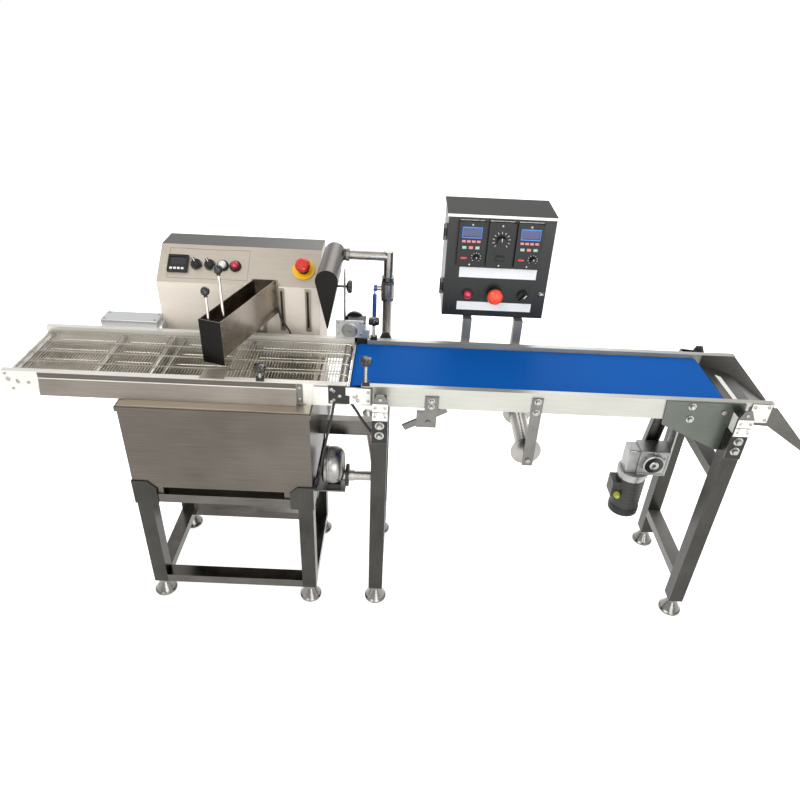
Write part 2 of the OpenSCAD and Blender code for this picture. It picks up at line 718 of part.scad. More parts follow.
// Worm gearboxes and motors behind the far rail
module rear_gearmotors() color("#c3c5c6") site() {
    y = rail_out_far;
    difference() {
        union() {
            translate([drive_roller_x - 62, y, wire_axis_z - 28]) cube([146, 52, 64]);
            ycyl(drive_roller_x, y + 52, wire_axis_z, 26, 6);
            translate([drive_roller_x + 84, y + 26, wire_axis_z + 6]) rotate([0, 90, 0]) cylinder(r = 24, h = 10);
        }
        ycyl(drive_roller_x, y - 1, wire_axis_z, journal_r + run_clear, 80);
    }
    x = rod_x;
    z = rod_z;
    difference() {
        union() {
            translate([x - 22, y + plate_t, z - 30]) cube([56, 44, 64]);
            ycyl(x - 8, y + plate_t + 44, z + 38, 25, 8);
            translate([x - 54, y + pass_clear, rail_top - 2]) cube([73, plate_t - pass_clear, 48]);
            translate([x - 22, y + plate_t, z + 30]) cube([44, 44, 22]);
        }
        ycyl(x, y - 1, z, rod_r + run_clear, 60);
    }
}

// Transfer plates between the conveyors and end plates with a take-up slot
module side_plates() color(dark_steel) site() {
    x0 = enrober_len - 40;
    x1 = outfeed_x + 26;
    leg_side = conveyor_leg_x[1] - tube / 2 - pass_clear;
    for (y = [rail_out_near - plate_t, rail_out_far]) difference() {
        union() {
            xz_plate([[x0, rail_top - 48], [x1, rail_top - 48], [x1, rail_top - 4], [x0, rail_top - 4]], y, plate_t);
            xz_plate([[line_end - 253, rail_top - 2], [line_end - 249, rail_top - 68], [line_end - 105, rail_top - 134],
                [leg_side, rail_top - 134], [leg_side, conveyor_leg_top + 1], [line_end - 67, conveyor_leg_top + 1],
                [line_end - 67, rail_top - 2]], y, plate_t);
        }
        ycyl(transfer_roller_x, y - 1, wire_axis_z, journal_r + pass_clear, plate_t + 2);
        ycyl(rod_x, y - 1, rod_z, rod_r + run_clear, plate_t + 2);
        ycyl(nose_x, y - 1, out_axis_z, journal_r + run_clear, plate_t + 2);
        ycyl(end_x, y - 1, out_axis_z, journal_r + run_clear, plate_t + 2);
    }
}

// Thin driven rod that takes the tails off the coated pieces
module detailing_rod() color(bright) site()
    ycyl(rod_x, rail_out_near - plate_t - 3, rod_z, rod_r, belt_gap + 2 * rail_flange + 2 * plate_t + 30);

// Star knobs on their studs along the transfer
module clamp_knobs() color(black) site() {
    for (p = [[outfeed_x + 10, rail_out_near + 6, 56], [outfeed_x + 16, rail_out_far - 6, 44], [604, rail_out_near + 6, 26]])
        translate([p[0], p[1], rail_top]) star_knob(p[2]);
}

module star_knob(h) {
    translate([-8, -6, 0]) cube([16, 12, 8]);
    cylinder(r = 4, h = h + 10);
    translate([0, 0, h]) difference() {
        cylinder(r = 14, h = 14);
        for (a = [0:60:300]) rotate([0, 0, a]) translate([17, 0, -1]) cylinder(r = 6, h = 16);
    }
}

// Both side rails of the outfeed conveyor
module outfeed_rails() color(bright) site() difference() {
    for (far = [false, true]) side_rail(outfeed_x, outfeed_len, rail_top, outfeed_rail_h, far);
    ycyl(end_x, -rail_flange - 1, out_axis_z, journal_r + pass_clear, belt_gap + 2 * rail_flange + 2);
}

// Four legs of the outfeed conveyor
module conveyor_legs() color(dark_steel) site()
    for (x = conveyor_leg_x, y = conveyor_leg_y) difference() {
        translate([x - tube / 2, y - tube / 2, foot_h]) cube([tube, tube, conveyor_leg_top - foot_h]);
        translate([x - tube / 2 + tube_wall, y - tube / 2 + tube_wall, foot_h + 5])
            cube([tube - 2 * tube_wall, tube - 2 * tube_wall, rail_top]);
        translate([x, y, foot_h - 1]) cylinder(r = 6 + pass_clear, h = 10);
    }

// Cross tubes between the legs and the posts of the control box
module support_bars() color(dark_steel) site() {
    y0 = conveyor_leg_y[0] + tube / 2;
    yl = conveyor_leg_y[1] - conveyor_leg_y[0] - tube;
    for (x = conveyor_leg_x, z = [115, rail_top - 220])
        box_tube([x - tube / 2, y0, z], [tube, yl, cross_h], 1);
    for (x = [box_left + 56, box_left + 188])
        union() {
            box_tube([x, rail_out_far, rail_top - outfeed_rail_h], [22, 22, box_rise + outfeed_rail_h - 4], 2);
            translate([x, rail_out_far, box_z - 4]) cube([22, 70, 4]);
        }
}

// Plates bolted to the rails: leg plates, spool arms, scraper plates and the knife's slotted strut
module bracket_plates() color(dark_steel) site() {
    for (i = [0:1]) {
        leg_plate(conveyor_leg_x[i], conveyor_leg_y[0] - tube / 2 - plate_t, i * plate_t);
        leg_plate(conveyor_leg_x[i], conveyor_leg_y[1] + tube / 2, i * plate_t);
    }
    for (y = [rail_out_near - plate_t, rail_out_far]) {
        difference() {
            xz_plate([[spool_x - arm_w / 2, spool_z - 16], [spool_x + arm_w / 2, spool_z - 16],
                [spool_x + arm_w / 2, rail_top - 12], [spool_x - arm_w / 2, rail_top - 12]], y, plate_t);
            ycyl(spool_x, y - 1, spool_z, journal_r + run_clear, plate_t + 2);
        }
        difference() {
            xz_plate([[scraper_x - 28, scraper_z - 14], [scraper_x + 20, scraper_z - 14], [scraper_x + 20, scraper_z + 32],
                [scraper_x + 23, scraper_z + 32], [scraper_x + 23, rail_top - 20], [scraper_x - 10, rail_top - 20],
                [scraper_x - 10, scraper_z + 32], [scraper_x - 28, scraper_z + 32]], y, plate_t);
            ycyl(scraper_x, y - 1, scraper_z, journal_r + run_clear, plate_t + 2);
        }
    }
    stud_y = knife_y1 - knife_len + 97;
    difference() {
        translate([knife_x + 33, rail_out_far + plate_t, rail_top - 46]) cube([3, 26, 224]);
        translate([knife_x + 32, stud_y - 7, rail_top + 108]) cube([5, 14, 52]);
    }
}

// Leg plate with a pointed top and a spacer block against the rail
module leg_plate(x, y, short) {
    xz_plate([[x - tube / 2, conveyor_leg_top - 66], [x + tube / 2, conveyor_leg_top - 66],
        [x + tube / 2, rail_top - 24], [x + 8, rail_top], [x - 8, rail_top], [x - tube / 2, rail_top - 24]], y, plate_t);
    near = y < 0;
    block = near ? [y + plate_t, rail_out_near - short] : [rail_out_far + short, y];
    translate([x - tube / 2 + 4, block[0], conveyor_leg_top + 2])
        cube([tube - 8, block[1] - block[0], rail_top - 24 - conveyor_leg_top]);
}

// Closed conveyor belt round both end rollers
module conveyor_belt() color("#0d5caa") site() {
    top = out_axis_z + out_turn_in;
    for (z = [top, out_axis_z - out_turn_in - belt_t])
        translate([nose_x, belt_side, z]) cube([end_x - nose_x, belt_w, belt_t]);
    for (p = [[nose_x, 90], [end_x, -90]])
        translate([p[0], belt_side + belt_w, out_axis_z]) rotate([90, 0, 0]) rotate([0, 0, p[1]])
            rotate_extrude(angle = 180) translate([out_turn_in, 0]) square([belt_t, belt_w]);
}

// Slider bed under the belt's upper run, on cross tubes between the rails
module belt_bed() color(steel) site() {
    t = 2;
    x0 = outfeed_x + 12;
    x1 = end_x - end_roller_r - 8;
    z = out_axis_z + out_turn_in - pass_clear - t;
    translate([x0, 1, z]) cube([x1 - x0, belt_gap - 2, t]);
    n = 3;
    bar = 14;
    for (i = [0:n])
        translate([x0 + 20 + i * (x1 - x0 - 54) / n, 0, z - bar]) cube([bar, belt_gap, bar]);
}

// End rollers of the outfeed conveyor
module nose_roller() color(steel) site()
    roller(nose_x, out_axis_z, end_roller_r, rail_out_near - plate_t - 3, rail_out_far + plate_t - pass_clear);

// Driven end roller with its sprocket
module drive_roller() color(steel) site() {
    roller(end_x, out_axis_z, end_roller_r, rail_out_near - plate_t - 3, chain_y + 12);
    ycyl(end_x, chain_y, out_axis_z, chain_in - pass_clear, chain_w);
}

// Discharge chute: side walls outside the rails, and a floor that starts behind the end roller
module discharge_chute() color(dark_steel) site() {
    t = 2;
    x0 = line_end - 56;
    xm = line_end + 1;
    x1 = total_len;
    zm = rail_top - 56;
    z1 = rail_top - chute_drop;
    xb = end_x + end_roller_r + belt_t + 8;
    zb = rail_top - 26;
    xz_plate([[xm, zm - t], [x1, z1 - t], [x1, z1], [xm, zm]], rail_out_near - 1, rail_out_far - rail_out_near + 2);
    xz_plate([[xb, zb - t], [xm + 1, zm - t], [xm + 1, zm], [xb, zb]], 1, belt_gap - 2);
    for (y = [rail_out_near - t, rail_out_far])
        xz_plate([[x0, zm - 2], [xm, zm - t - 3], [x1, z1 - t], [x1, z1 + 8], [line_end + 8, rail_top - 10],
            [x0, rail_top - 10]], y, t);
}

// Worm gearmotor that drives the conveyor, hanging on a plate from the right legs
module drive_gearmotor() color("#8d9094") site() {
    y1 = chain_y - 4;
    x = motor_axis[0];
    z = motor_axis[1];
    difference() {
        union() {
            translate([x - 42, y1 - 56, z - 42]) cube([84, 56, 84]);
            ycyl(x, y1 - 62, z, 30, 64);
            translate([x - 40, y1 - 28, z - 52]) cylinder(r = 44, h = 12);
            translate([x - 40, y1 - 28, z - 190]) cylinder(r = 40, h = 140);
            translate([x - 94, y1 - 52, z - 130]) cube([30, 48, 52]);
            translate([x + 41, y1 - 50, z - 30]) cube([5, 40, rail_top - 190 - z]);
            translate([x + 41, y1 - 50, rail_top - 220]) cube([conveyor_leg_x[1] - tube / 2 - x - 41, 40, cross_h]);
        }
        ycyl(x, y1 - 70, z, 9 + run_clear, 80);
    }
}

// Output shaft and sprocket of the gearmotor
module motor_sprocket() color(dark_steel) site() {
    ycyl(motor_axis[0], chain_y - 66, motor_axis[1], 9, 80);
    ycyl(motor_axis[0], chain_y, motor_axis[1], chain_in - pass_clear, chain_w);
}

// Roller chain loop between both sprockets
module drive_chain() color(black) site() {
    rise = [end_x - motor_axis[0], out_axis_z - motor_axis[1]];
    span = norm(rise);
    lean = atan2(rise[0], rise[1]);
    translate([motor_axis[0], chain_y, motor_axis[1]]) rotate([0, lean, 0]) {
        for (x = [chain_in, -chain_in - chain_t]) translate([x, 0, 0]) cube([chain_t, chain_w, span]);
        for (p = [[0, 180], [span, 0]])
            translate([0, chain_w, p[0]]) rotate([90, 0, 0]) rotate([0, 0, p[1]])
                rotate_extrude(angle = 180) translate([chain_in, 0]) square([chain_t, chain_w]);
    }
}

// Sheet channel round the back of the chain
module chain_guard() color(steel) site() {
    rise = [end_x - motor_axis[0], out_axis_z - motor_axis[1]];
    lean = atan2(rise[0], rise[1]);
    half = chain_in + chain_t + 2;
    t = 1.5;
    translate([motor_axis[0], chain_y + chain_w + 8, motor_axis[1]]) rotate([0, lean, 0]) {
        translate([-half, 0, -40]) cube([2 * half, t, norm(rise) + 60]);
        for (x = [-half, half - t]) translate([x, -chain_w - 10, -40]) cube([t, chain_w + 10, norm(rise) + 60]);
    }
}

// Spool with side discs between its arms
module spool() color("#a9aaa8") site() {
    ycyl(spool_x, rail_out_near - plate_t - 4, spool_z, journal_r, belt_gap + 2 * rail_flange + 2 * plate_t + 8);
    ycyl(spool_x, 20, spool_z, 22, belt_gap - 40);
    for (y = [18, belt_gap - 21]) ycyl(spool_x, y, spool_z, spool_r, 3);
}

// Belt scraper: pivot rod, two levers and a blade under the return run
module scraper() color(dark_steel) site() {
    lean = 30;
    blade_z = out_axis_z - out_turn_in - belt_t - 1;
    ycyl(scraper_x, rail_out_near - plate_t - 3, scraper_z, journal_r, belt_gap + 2 * rail_flange + 2 * plate_t + 6);
    for (y = [2, belt_gap - 8])
        translate([scraper_x, y, scraper_z]) rotate([0, -lean, 0]) translate([-66, 0, -8]) cube([116, 6, 16]);
    xz_plate([[scraper_x + 34, scraper_z + 10], [scraper_x + 40, scraper_z + 10], [scraper_x + 44, blade_z],
        [scraper_x + 42, blade_z]], 8, belt_gap - 16);
}

// Control box, open at the front, with hinge barrels and pins on its left edge
module control_box() color(dark_steel) site() {
    y = box_front + door_t + pass_clear;
    difference() {
        union() {
            translate([box_left, y, box_z]) cube([box_w, box_d, box_h]);
            translate([box_left - 3, y, box_z + box_h - sheet]) cube([box_w + 6, box_d, sheet + 2]);
        }
        translate([box_left + sheet, y - 1, box_z + sheet])
            cube([box_w - 2 * sheet, box_d - sheet + 1, box_h - 2 * sheet]);
    }
    for (h = hinge_at) translate([box_left - hinge_r - 1, box_front + door_t / 2, box_z + h]) {
        cylinder(r = pin_r, h = 40);
        for (z = [0, 30]) translate([0, 0, z]) {
            cylinder(r = hinge_r, h = 10);
            translate([0, door_t / 2 + pass_clear, 0]) cube([hinge_r + 2, 6, 10]);
        }
    }
}

// Door of the control box with its middle hinge barrels
module control_door() color(dark_steel) site() {
    translate([box_left, box_front, box_z + pass_clear]) cube([box_w, door_t, box_h - sheet - 2 * pass_clear]);
    for (h = hinge_at) translate([box_left - hinge_r - 1, box_front + door_t / 2, box_z + h + 10 + pass_clear])
        difference() {
            union() {
                cylinder(r = hinge_r, h = 20 - 2 * pass_clear);
                translate([0, -door_t / 2, 0]) cube([hinge_r + 2, door_t, 20 - 2 * pass_clear]);
            }
            translate([0, 0, -1]) cylinder(r = pin_r + run_clear, h = 30);
        }
}

// Places its children on the door, z out of its front
module on_door(x, z) translate([box_left + x, box_front, box_z + z]) rotate([90, 0, 0]) children();

// Three speed controllers on the door
module speed_controllers() color(black) site() for (i = [0:2])
    on_door(module_at[i], module_z) difference() {
        cube([module_w, module_h, module_t]);
        if (i != 1) translate([10, 76, module_t - 2]) cube([module_w - 20, 22, 3]);
        translate([dial_at[i] - module_at[i], i == 1 ? 70 : 25, 4]) cylinder(r = 5 + run_clear, h = 20);
    }

// Bezels and the power lamp on the door
module door_fittings() color(black) site() {
    on_door(button_at[0], 62) lamp();
    on_door(button_at[1], 64) bezel(16, 11, 12);
    on_door(button_at[2], 62) bezel(15, 10, 6);
}

module door_estop() color("#e8452c") site() on_door(button_at[1], 64) mushroom();
module door_selector() color(black) site() on_door(button_at[2], 62) selector(-handle_turn);

// Speed dial on a controller's face
module dial(i, r) color(black) site()
    on_door(dial_at[i], module_z + (i == 1 ? 70 : 25)) {
        translate([0, 0, 4 + pass_clear]) cylinder(r = 5, h = module_t);
        translate([0, 0, module_t + pass_clear]) cylinder(r1 = r, r2 = r - 2, h = 12);
    }
module left_dial() dial(0, 8);
module centre_dial() dial(1, 12);
module right_dial() dial(2, 8);

base_legs();
base_rails();
levelling_feet();
tank_shell();
inner_vat();
heater();
pump_casing();
pump_rotor();
pump_motor();
cabinet();
temp_controller();
panel_fittings();
estop_plate();
selector_a();
selector_b();
cabinet_estop();
cables();
enrober_rails();
side_cover();
wire_belt();
infeed_roller();
wire_drive_roller();
support_roller();
transfer_roller();
infeed_pan();
flow_box();
gate_front();
gate_side();
air_knife();
air_pipe();
valve_lever();
blower();
rear_gearmotors();
side_plates();
detailing_rod();
clamp_knobs();
outfeed_rails();
conveyor_legs();
support_bars();
bracket_plates();
conveyor_belt();
belt_bed();
nose_roller();
drive_roller();
discharge_chute();
drive_gearmotor();
motor_sprocket();
drive_chain();
chain_guard();
spool();
scraper();
control_box();
control_door();
speed_controllers();
door_fittings();
door_estop();
door_selector();
left_dial();
centre_dial();
right_dial();
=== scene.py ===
"""Chocolate enrober: looks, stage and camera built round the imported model."""

import logging
import math
from dataclasses import dataclass
from enum import Enum
from typing import Callable, Sequence

import bpy
import numpy as np
from mathutils import Matrix, Vector


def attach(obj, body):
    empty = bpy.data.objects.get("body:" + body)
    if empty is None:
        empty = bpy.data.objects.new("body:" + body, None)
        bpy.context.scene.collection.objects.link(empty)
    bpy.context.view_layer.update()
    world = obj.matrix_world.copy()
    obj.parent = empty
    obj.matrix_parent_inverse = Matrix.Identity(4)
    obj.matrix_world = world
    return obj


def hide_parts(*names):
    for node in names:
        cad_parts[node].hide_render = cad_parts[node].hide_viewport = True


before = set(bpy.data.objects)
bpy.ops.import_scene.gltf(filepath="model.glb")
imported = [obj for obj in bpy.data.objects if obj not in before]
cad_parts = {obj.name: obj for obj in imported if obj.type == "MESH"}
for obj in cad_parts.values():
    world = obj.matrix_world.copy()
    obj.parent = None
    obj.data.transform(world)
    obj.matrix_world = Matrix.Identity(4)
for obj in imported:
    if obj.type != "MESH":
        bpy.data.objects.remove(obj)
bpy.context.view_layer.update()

logging.basicConfig(level=logging.INFO, format="%(message)s")
log = logging.getLogger("enrober")

MM = 0.001
# Middle of the floor under the machine, from the line's own corner
MID = np.array([968.5, 198.0, 0.0])
# Rise and run of the cabinet's sloping panel
SLOPE = math.atan2(73.0, 85.0)
# Edges that turn more than this stay sharp under smooth shading
SHARP_EDGE = math.radians(35.0)
# Thickness of the plates bolted on the rails
PLATE_T = 4.0
# Turned lamp lens: radius and height
LENS_DOME = [(10.4, 0), (10.4, 5.2), (9.6, 7.6), (7.2, 9.8), (3.6, 11), (0.6, 11.4)]


class Body(Enum):
    """Moving bodies that pieces ride on."""

    MACHINE = "machine"
    DOOR = "control_door"
    KNIFE = "air_knife"
    DIAL_LEFT = "left_dial"
    DIAL_CENTRE = "centre_dial"
    DIAL_RIGHT = "right_dial"
    SELECTOR_A = "selector_a"
    SELECTOR_B = "selector_b"
    DOOR_SELECTOR = "door_selector"
    GATE_FRONT = "gate_front"
    GATE_SIDE = "gate_side"
    VALVE = "valve_lever"


class Axis(Enum):
    """Named directions, as unit vectors."""

    X = (1.0, 0.0, 0.0)
    Y = (0.0, 1.0, 0.0)
    Z = (0.0, 0.0, 1.0)
    FRONT = (0.0, -1.0, 0.0)
    PANEL = (0.0, -math.sin(SLOPE), math.cos(SLOPE))


# Outer faces of the rails and of the leg plates, near and far: y, outward sign and direction
RAIL_SIDES = ((-15.0, -1.0, Axis.FRONT), (230.0, 1.0, Axis.Y))
LEG_SIDES = ((-53.0, -1.0, Axis.FRONT), (268.0, 1.0, Axis.Y))


def linear(hex_colour: str) -> tuple[float, float, float, float]:
    """sRGB hex to linear RGBA.

    Args:
        hex_colour: colour as rrggbb.

    Returns:
        Linear red, green, blue and 1.
    """
    srgb = np.array([int(hex_colour[i:i + 2], 16) for i in (0, 2, 4)]) / 255.0
    lin = np.where(srgb <= 0.04045, srgb / 12.92, ((srgb + 0.055) / 1.055) ** 2.4)
    return (*(float(c) for c in lin), 1.0)


def add_node(tree: bpy.types.NodeTree, kind: str, settings: dict | None = None,
             links: dict | None = None) -> bpy.types.Node:
    """Adds a node with its settings, socket values and links.

    Args:
        tree: node tree that takes the node.
        kind: Blender's node type.
        settings: attributes, or input values keyed by socket name or number.
        links: input socket to the output socket that feeds it.

    Returns:
        The new node.
    """
    made = tree.nodes.new(kind)
    for key, value in (settings or {}).items():
        if isinstance(key, str) and hasattr(made, key) and key not in made.inputs:
            setattr(made, key, value)
        else:
            made.inputs[key].default_value = value
    for key, source in (links or {}).items():
        tree.links.new(source, made.inputs[key])
    return made


def bare_tree(owner: bpy.types.ID) -> bpy.types.NodeTree:
    """The owner's own node tree, turned on and emptied.

    Args:
        owner: material or world that has the tree.

    Returns:
        The empty tree.
    """
    owner.use_nodes = True
    owner.node_tree.nodes.clear()
    return owner.node_tree


def seen_by(tree: bpy.types.NodeTree, *rays: str) -> bpy.types.NodeSocket:
    """The largest of the named Light Path outputs: 1 for any of these rays, else 0.

    Args:
        tree: node tree that takes the nodes.
        rays: names of the outputs.

    Returns:
        The socket that gives it.
    """
    path = add_node(tree, "ShaderNodeLightPath")
    total = path.outputs[rays[0]]
    for ray in rays[1:]:
        total = add_node(tree, "ShaderNodeMath", {"operation": "MAXIMUM"}, {0: total, 1: path.outputs[ray]}).outputs[0]
    return total


@dataclass(frozen=True)
class Finish:
    """A surface finish with grain and patches sized in millimetres, and a material slot name."""

    name: str
    base: str
    shade: str
    metallic: float = 0.0
    roughness: float = 0.5
    spread: float = 0.08
    grain_mm: tuple[float, float, float] = (1.5, 1.5, 1.5)
    patch_mm: float = 120.0
    patch: float = 0.25
    bump: float = 0.05
    coat: float = 0.0
    specular: float = 0.5
    glow: float = 0.0
    slot: str = "brushed_steel"

    def material(self) -> bpy.types.Material:
        """Node material: grain and patches mix the two tints and stir roughness and bump.

        Returns:
            The material, made once for each name.
        """
        made = bpy.data.materials.get(self.name)
        if made:
            return made
        made = bpy.data.materials.new(self.name)
        tree = bare_tree(made)
        place = add_node(tree, "ShaderNodeTexCoord").outputs["Object"]
        scale = tuple(1000.0 / g for g in self.grain_mm)
        grain_at = add_node(tree, "ShaderNodeMapping", {"Scale": scale}, {"Vector": place}).outputs[0]
        grain = add_node(
            tree, "ShaderNodeTexNoise", {"Scale": 1.0, "Detail": 3.0, "Roughness": 0.6}, {"Vector": grain_at}
        ).outputs["Fac"]
        patch = add_node(
            tree, "ShaderNodeTexNoise", {"Scale": 1000.0 / self.patch_mm, "Detail": 2.0}, {"Vector": place}
        ).outputs["Fac"]
        blend = add_node(
            tree, "ShaderNodeMapRange", {"From Min": 0.3, "From Max": 0.7, "To Min": 0.0, "To Max": 1.0 - self.patch},
            {"Value": grain},
        ).outputs[0]
        patches = add_node(
            tree, "ShaderNodeMapRange", {"From Min": 0.3, "From Max": 0.7, "To Min": 0.0, "To Max": self.patch},
            {"Value": patch},
        ).outputs[0]
        both = add_node(tree, "ShaderNodeMath", {"operation": "ADD"}, {0: blend, 1: patches}).outputs[0]
        tint = add_node(
            tree, "ShaderNodeMix", {"data_type": "RGBA", 6: linear(self.shade), 7: linear(self.base)}, {0: both}
        ).outputs[2]
        rough = add_node(
            tree, "ShaderNodeMapRange",
            {"To Min": max(self.roughness - self.spread, 0.02), "To Max": min(self.roughness + self.spread, 1.0)},
            {"Value": both},
        ).outputs[0]
        relief = add_node(
            tree, "ShaderNodeBump", {"Strength": self.bump, "Distance": 0.0004}, {"Height": grain}
        ).outputs[0]
        shader = add_node(
            tree, "ShaderNodeBsdfPrincipled",
            {"Metallic": self.metallic, "Coat Weight": self.coat, "Specular IOR Level": self.specular,
             "Emission Strength": self.glow},
            {"Base Color": tint, "Roughness": rough, "Normal": relief},
        )
        if self.glow:
            shader.inputs["Emission Color"].default_value = linear(self.base)
        add_node(tree, "ShaderNodeOutputMaterial", None, {"Surface": shader.outputs[0]})
        made.diffuse_color = linear(self.base)
        return made


# Stainless sheet with a long brush mark along the line: soft streaks, warm grey
SHEET = Finish("brushed_stainless_sheet", "c9c2b5", "a59d90", 1, 0.34, 0.1, (90, 0.9, 0.9), 160, 0.35, 0.06)
# Cabinet sheet, pale and even, brushed along the line
CABINET = Finish("pale_stainless_cabinet", "b4aca0", "a2998d", 0.85, 0.46, 0.08, (80, 0.9, 0.9), 200, 0.35, 0.05)
# Paler, barely metallic copy of the cabinet sheet: painted light on the cabinet's front, also on the service sheet
LIT_CABINET_SHEET = Finish("painted_light_stainless_front", "ebe3d7", "dad1c4", 0.15, 0.5, 0.08, (80, 0.9, 0.9), 200, 0.35, 0.05)
# The same sheet toned darker as painted shade, for the cabinet's top where it turns away from the light
CABINET_TOP_SHADE = Finish("painted_shade_cabinet_top", "696662", "53514d", 1, 0.42, 0.08, (80, 0.9, 0.9), 160, 0.3, 0.05)
# Tank jacket: the stainless sheet toned darker as painted shade, with long level streaks
TANK = Finish("brushed_stainless_tank_painted_shade", "6d6761", "4a453f", 1, 0.36, 0.1, (120, 0.9, 0.9), 190, 0.45, 0.06)
# Drip cover on the near rail, and a darker copy of it as painted shade for the fold along its top
COVER = Finish("brushed_stainless_cover", "928b83", "746d65", 1, 0.38, 0.1, (90, 0.9, 0.9), 150, 0.35, 0.05)
COVER_FOLD_SHADE = Finish("painted_shade_stainless_fold", "66615b", "4b4742", 0.9, 0.42, 0.08, (60, 0.9, 0.9), 110, 0.3, 0.05)
# Bright side rails, cleaner and paler than the big sheets
RAIL = Finish("bright_stainless_rail", "d9d7d1", "c5c2bb", 0.5, 0.42, 0.1, (70, 0.8, 0.8), 120, 0.3, 0.05)
OUT_RAIL = Finish("satin_stainless_rail", "b6b6ae", "9a9a93", 0.7, 0.38, 0.1, (90, 0.8, 0.8), 160, 0.4, 0.05)
END_PLATE = Finish("mill_stainless_end_plate", "646861", "50544e", 0.9, 0.38, 0.08, (40, 1, 1), 90, 0.4, 0.05)
# Square leg tube with a dark mill finish
LEG = Finish("mill_stainless_leg", "4b4a46", "31302d", 1, 0.3, 0.08, (1, 1, 60), 110, 0.45, 0.04)
CROSS_TUBE = Finish("polished_stainless_cross_tube", "6a6763", "4a4743", 1, 0.2, 0.06, (60, 60, 1), 90, 0.4, 0.03)
POST = Finish("satin_stainless_post", "8b8985", "676561", 0.9, 0.48, 0.08, (1, 1, 60), 90, 0.35, 0.04)
# Polished sheet of the flow box, and a near-black copy of it as painted shade on the box's front and the knife's end
# cap
FLOW = Finish("polished_stainless_flow_box", "b1a89c", "7d746a", 1, 0.26, 0.08, (0.9, 60, 0.9), 90, 0.5, 0.04)
FLOW_FRONT_SHADE = Finish("polished_stainless_painted_shade", "201f1d", "141312", 0.9, 0.3, 0.08, (0.9, 0.9, 60), 70, 0.4, 0.03)
# Rolled sheet of the air knife
KNIFE = Finish("rolled_stainless_knife", "5a554f", "3b3732", 1, 0.3, 0.08, (0.9, 70, 0.9), 80, 0.4, 0.04)
PIPE = Finish("polished_stainless_pipe", "b4b0aa", "7b7772", 1, 0.3, 0.08, (1, 1, 60), 60, 0.4, 0.03,
              slot="bright_steel")
# Bolted brackets and arms
BRACKET = Finish("laser_cut_stainless_bracket", "7d7b78", "5a5855", 1, 0.38, 0.08, (1, 1, 40), 60, 0.35, 0.05)
ROLLER = Finish("turned_stainless_roller", "a8a5a0", "7b7874", 1, 0.26, 0.08, (1, 60, 1), 60, 0.4, 0.04,
                slot="bright_steel")
# Pan under the belt: toned darker as painted shade under the belt, and mottled in large random patches
PAN = Finish("mottled_stainless_pan_painted_shade", "a89f92", "5b544c", 0.9, 0.34, 0.12, (14, 14, 2), 70, 0.7, 0.06)
# Drawn stainless wire, bright and smooth
WIRE = Finish("drawn_stainless_wire", "e6e1d7", "b5afa4", 1, 0.24, 0.08, (1.2, 6, 1.2), 60, 0.3, 0.03,
              slot="bright_steel")
# Chromed levelling feet
CHROME = Finish("chrome_plate", "94928e", "5e5c59", 1, 0.16, 0.05, (2, 2, 2), 40, 0.4, 0.01, slot="polished_steel")
# Blackened bracket plate
DARK_PLATE = Finish("blackened_steel", "2b2a28", "191817", 0.5, 0.44, 0.1, (1.2, 1.2, 1.2), 60, 0.3, 0.05,
                    slot="dark_plate")
# Brushed dark steel of the control box, and its darker door
BOX_STEEL = Finish("brushed_dark_box_steel", "6a6a69", "4b4b4a", 0.9, 0.4, 0.08, (1, 1, 50), 120, 0.4, 0.06)
DOOR_STEEL = Finish("brushed_dark_door_steel", "3c3d3c", "2a2b2a", 0.9, 0.4, 0.08, (1, 1, 50), 120, 0.4, 0.06)
# Dark matt copy of the box's steel: painted shade on the control box's top
BOX_TOP_SHADE = Finish("painted_shade_box_top", "4c4c4a", "3b3b3a", 0, 0.75, 0.08, (50, 1, 1), 90, 0.3, 0.05, 0, 0.1)
# Moulded black plastic, satin
BLACK = Finish("black_abs", "191919", "0b0b0b", 0, 0.42, 0.08, (1, 1, 1), 30, 0.3, 0.05, 0, 0.35,
               slot="black_plastic")
# Phenolic ball and star knobs, glossy
PHENOLIC = Finish("black_phenolic", "121212", "070707", 0, 0.18, 0.04, (1.5, 1.5, 1.5), 20, 0.3, 0.02, 0.2,
                  slot="black_plastic")
# Red stop button and lamp mouldings
RED = Finish("red_polycarbonate", "d92317", "a8140c", 0, 0.28, 0.05, (1.2, 1.2, 1.2), 15, 0.3, 0.02, 0.2,
             slot="red_plastic")
ORANGE_RED = Finish("orange_red_polycarbonate", "f04a26", "c92f14", 0, 0.3, 0.05, (1.2, 1.2, 1.2), 15, 0.3, 0.02, 0.2)
YELLOW = Finish("yellow_abs", "f4c313", "d9a305", 0, 0.36, 0.06, (1.2, 1.2, 1.2), 20, 0.3, 0.03)
# Blue food belt: matt, even polyurethane
BELT = Finish("blue_polyurethane_belt", "0556a6", "034b98", 0, 0.6, 0.06, (1.2, 1.2, 1.2), 220, 0.5, 0.05, 0, 0.05)
BLUE_PAINT = Finish("blue_vinyl_grip", "1d4fa3", "123674", 0, 0.3, 0.06, (1, 1, 3), 25, 0.3, 0.04, slot="blue_paint")
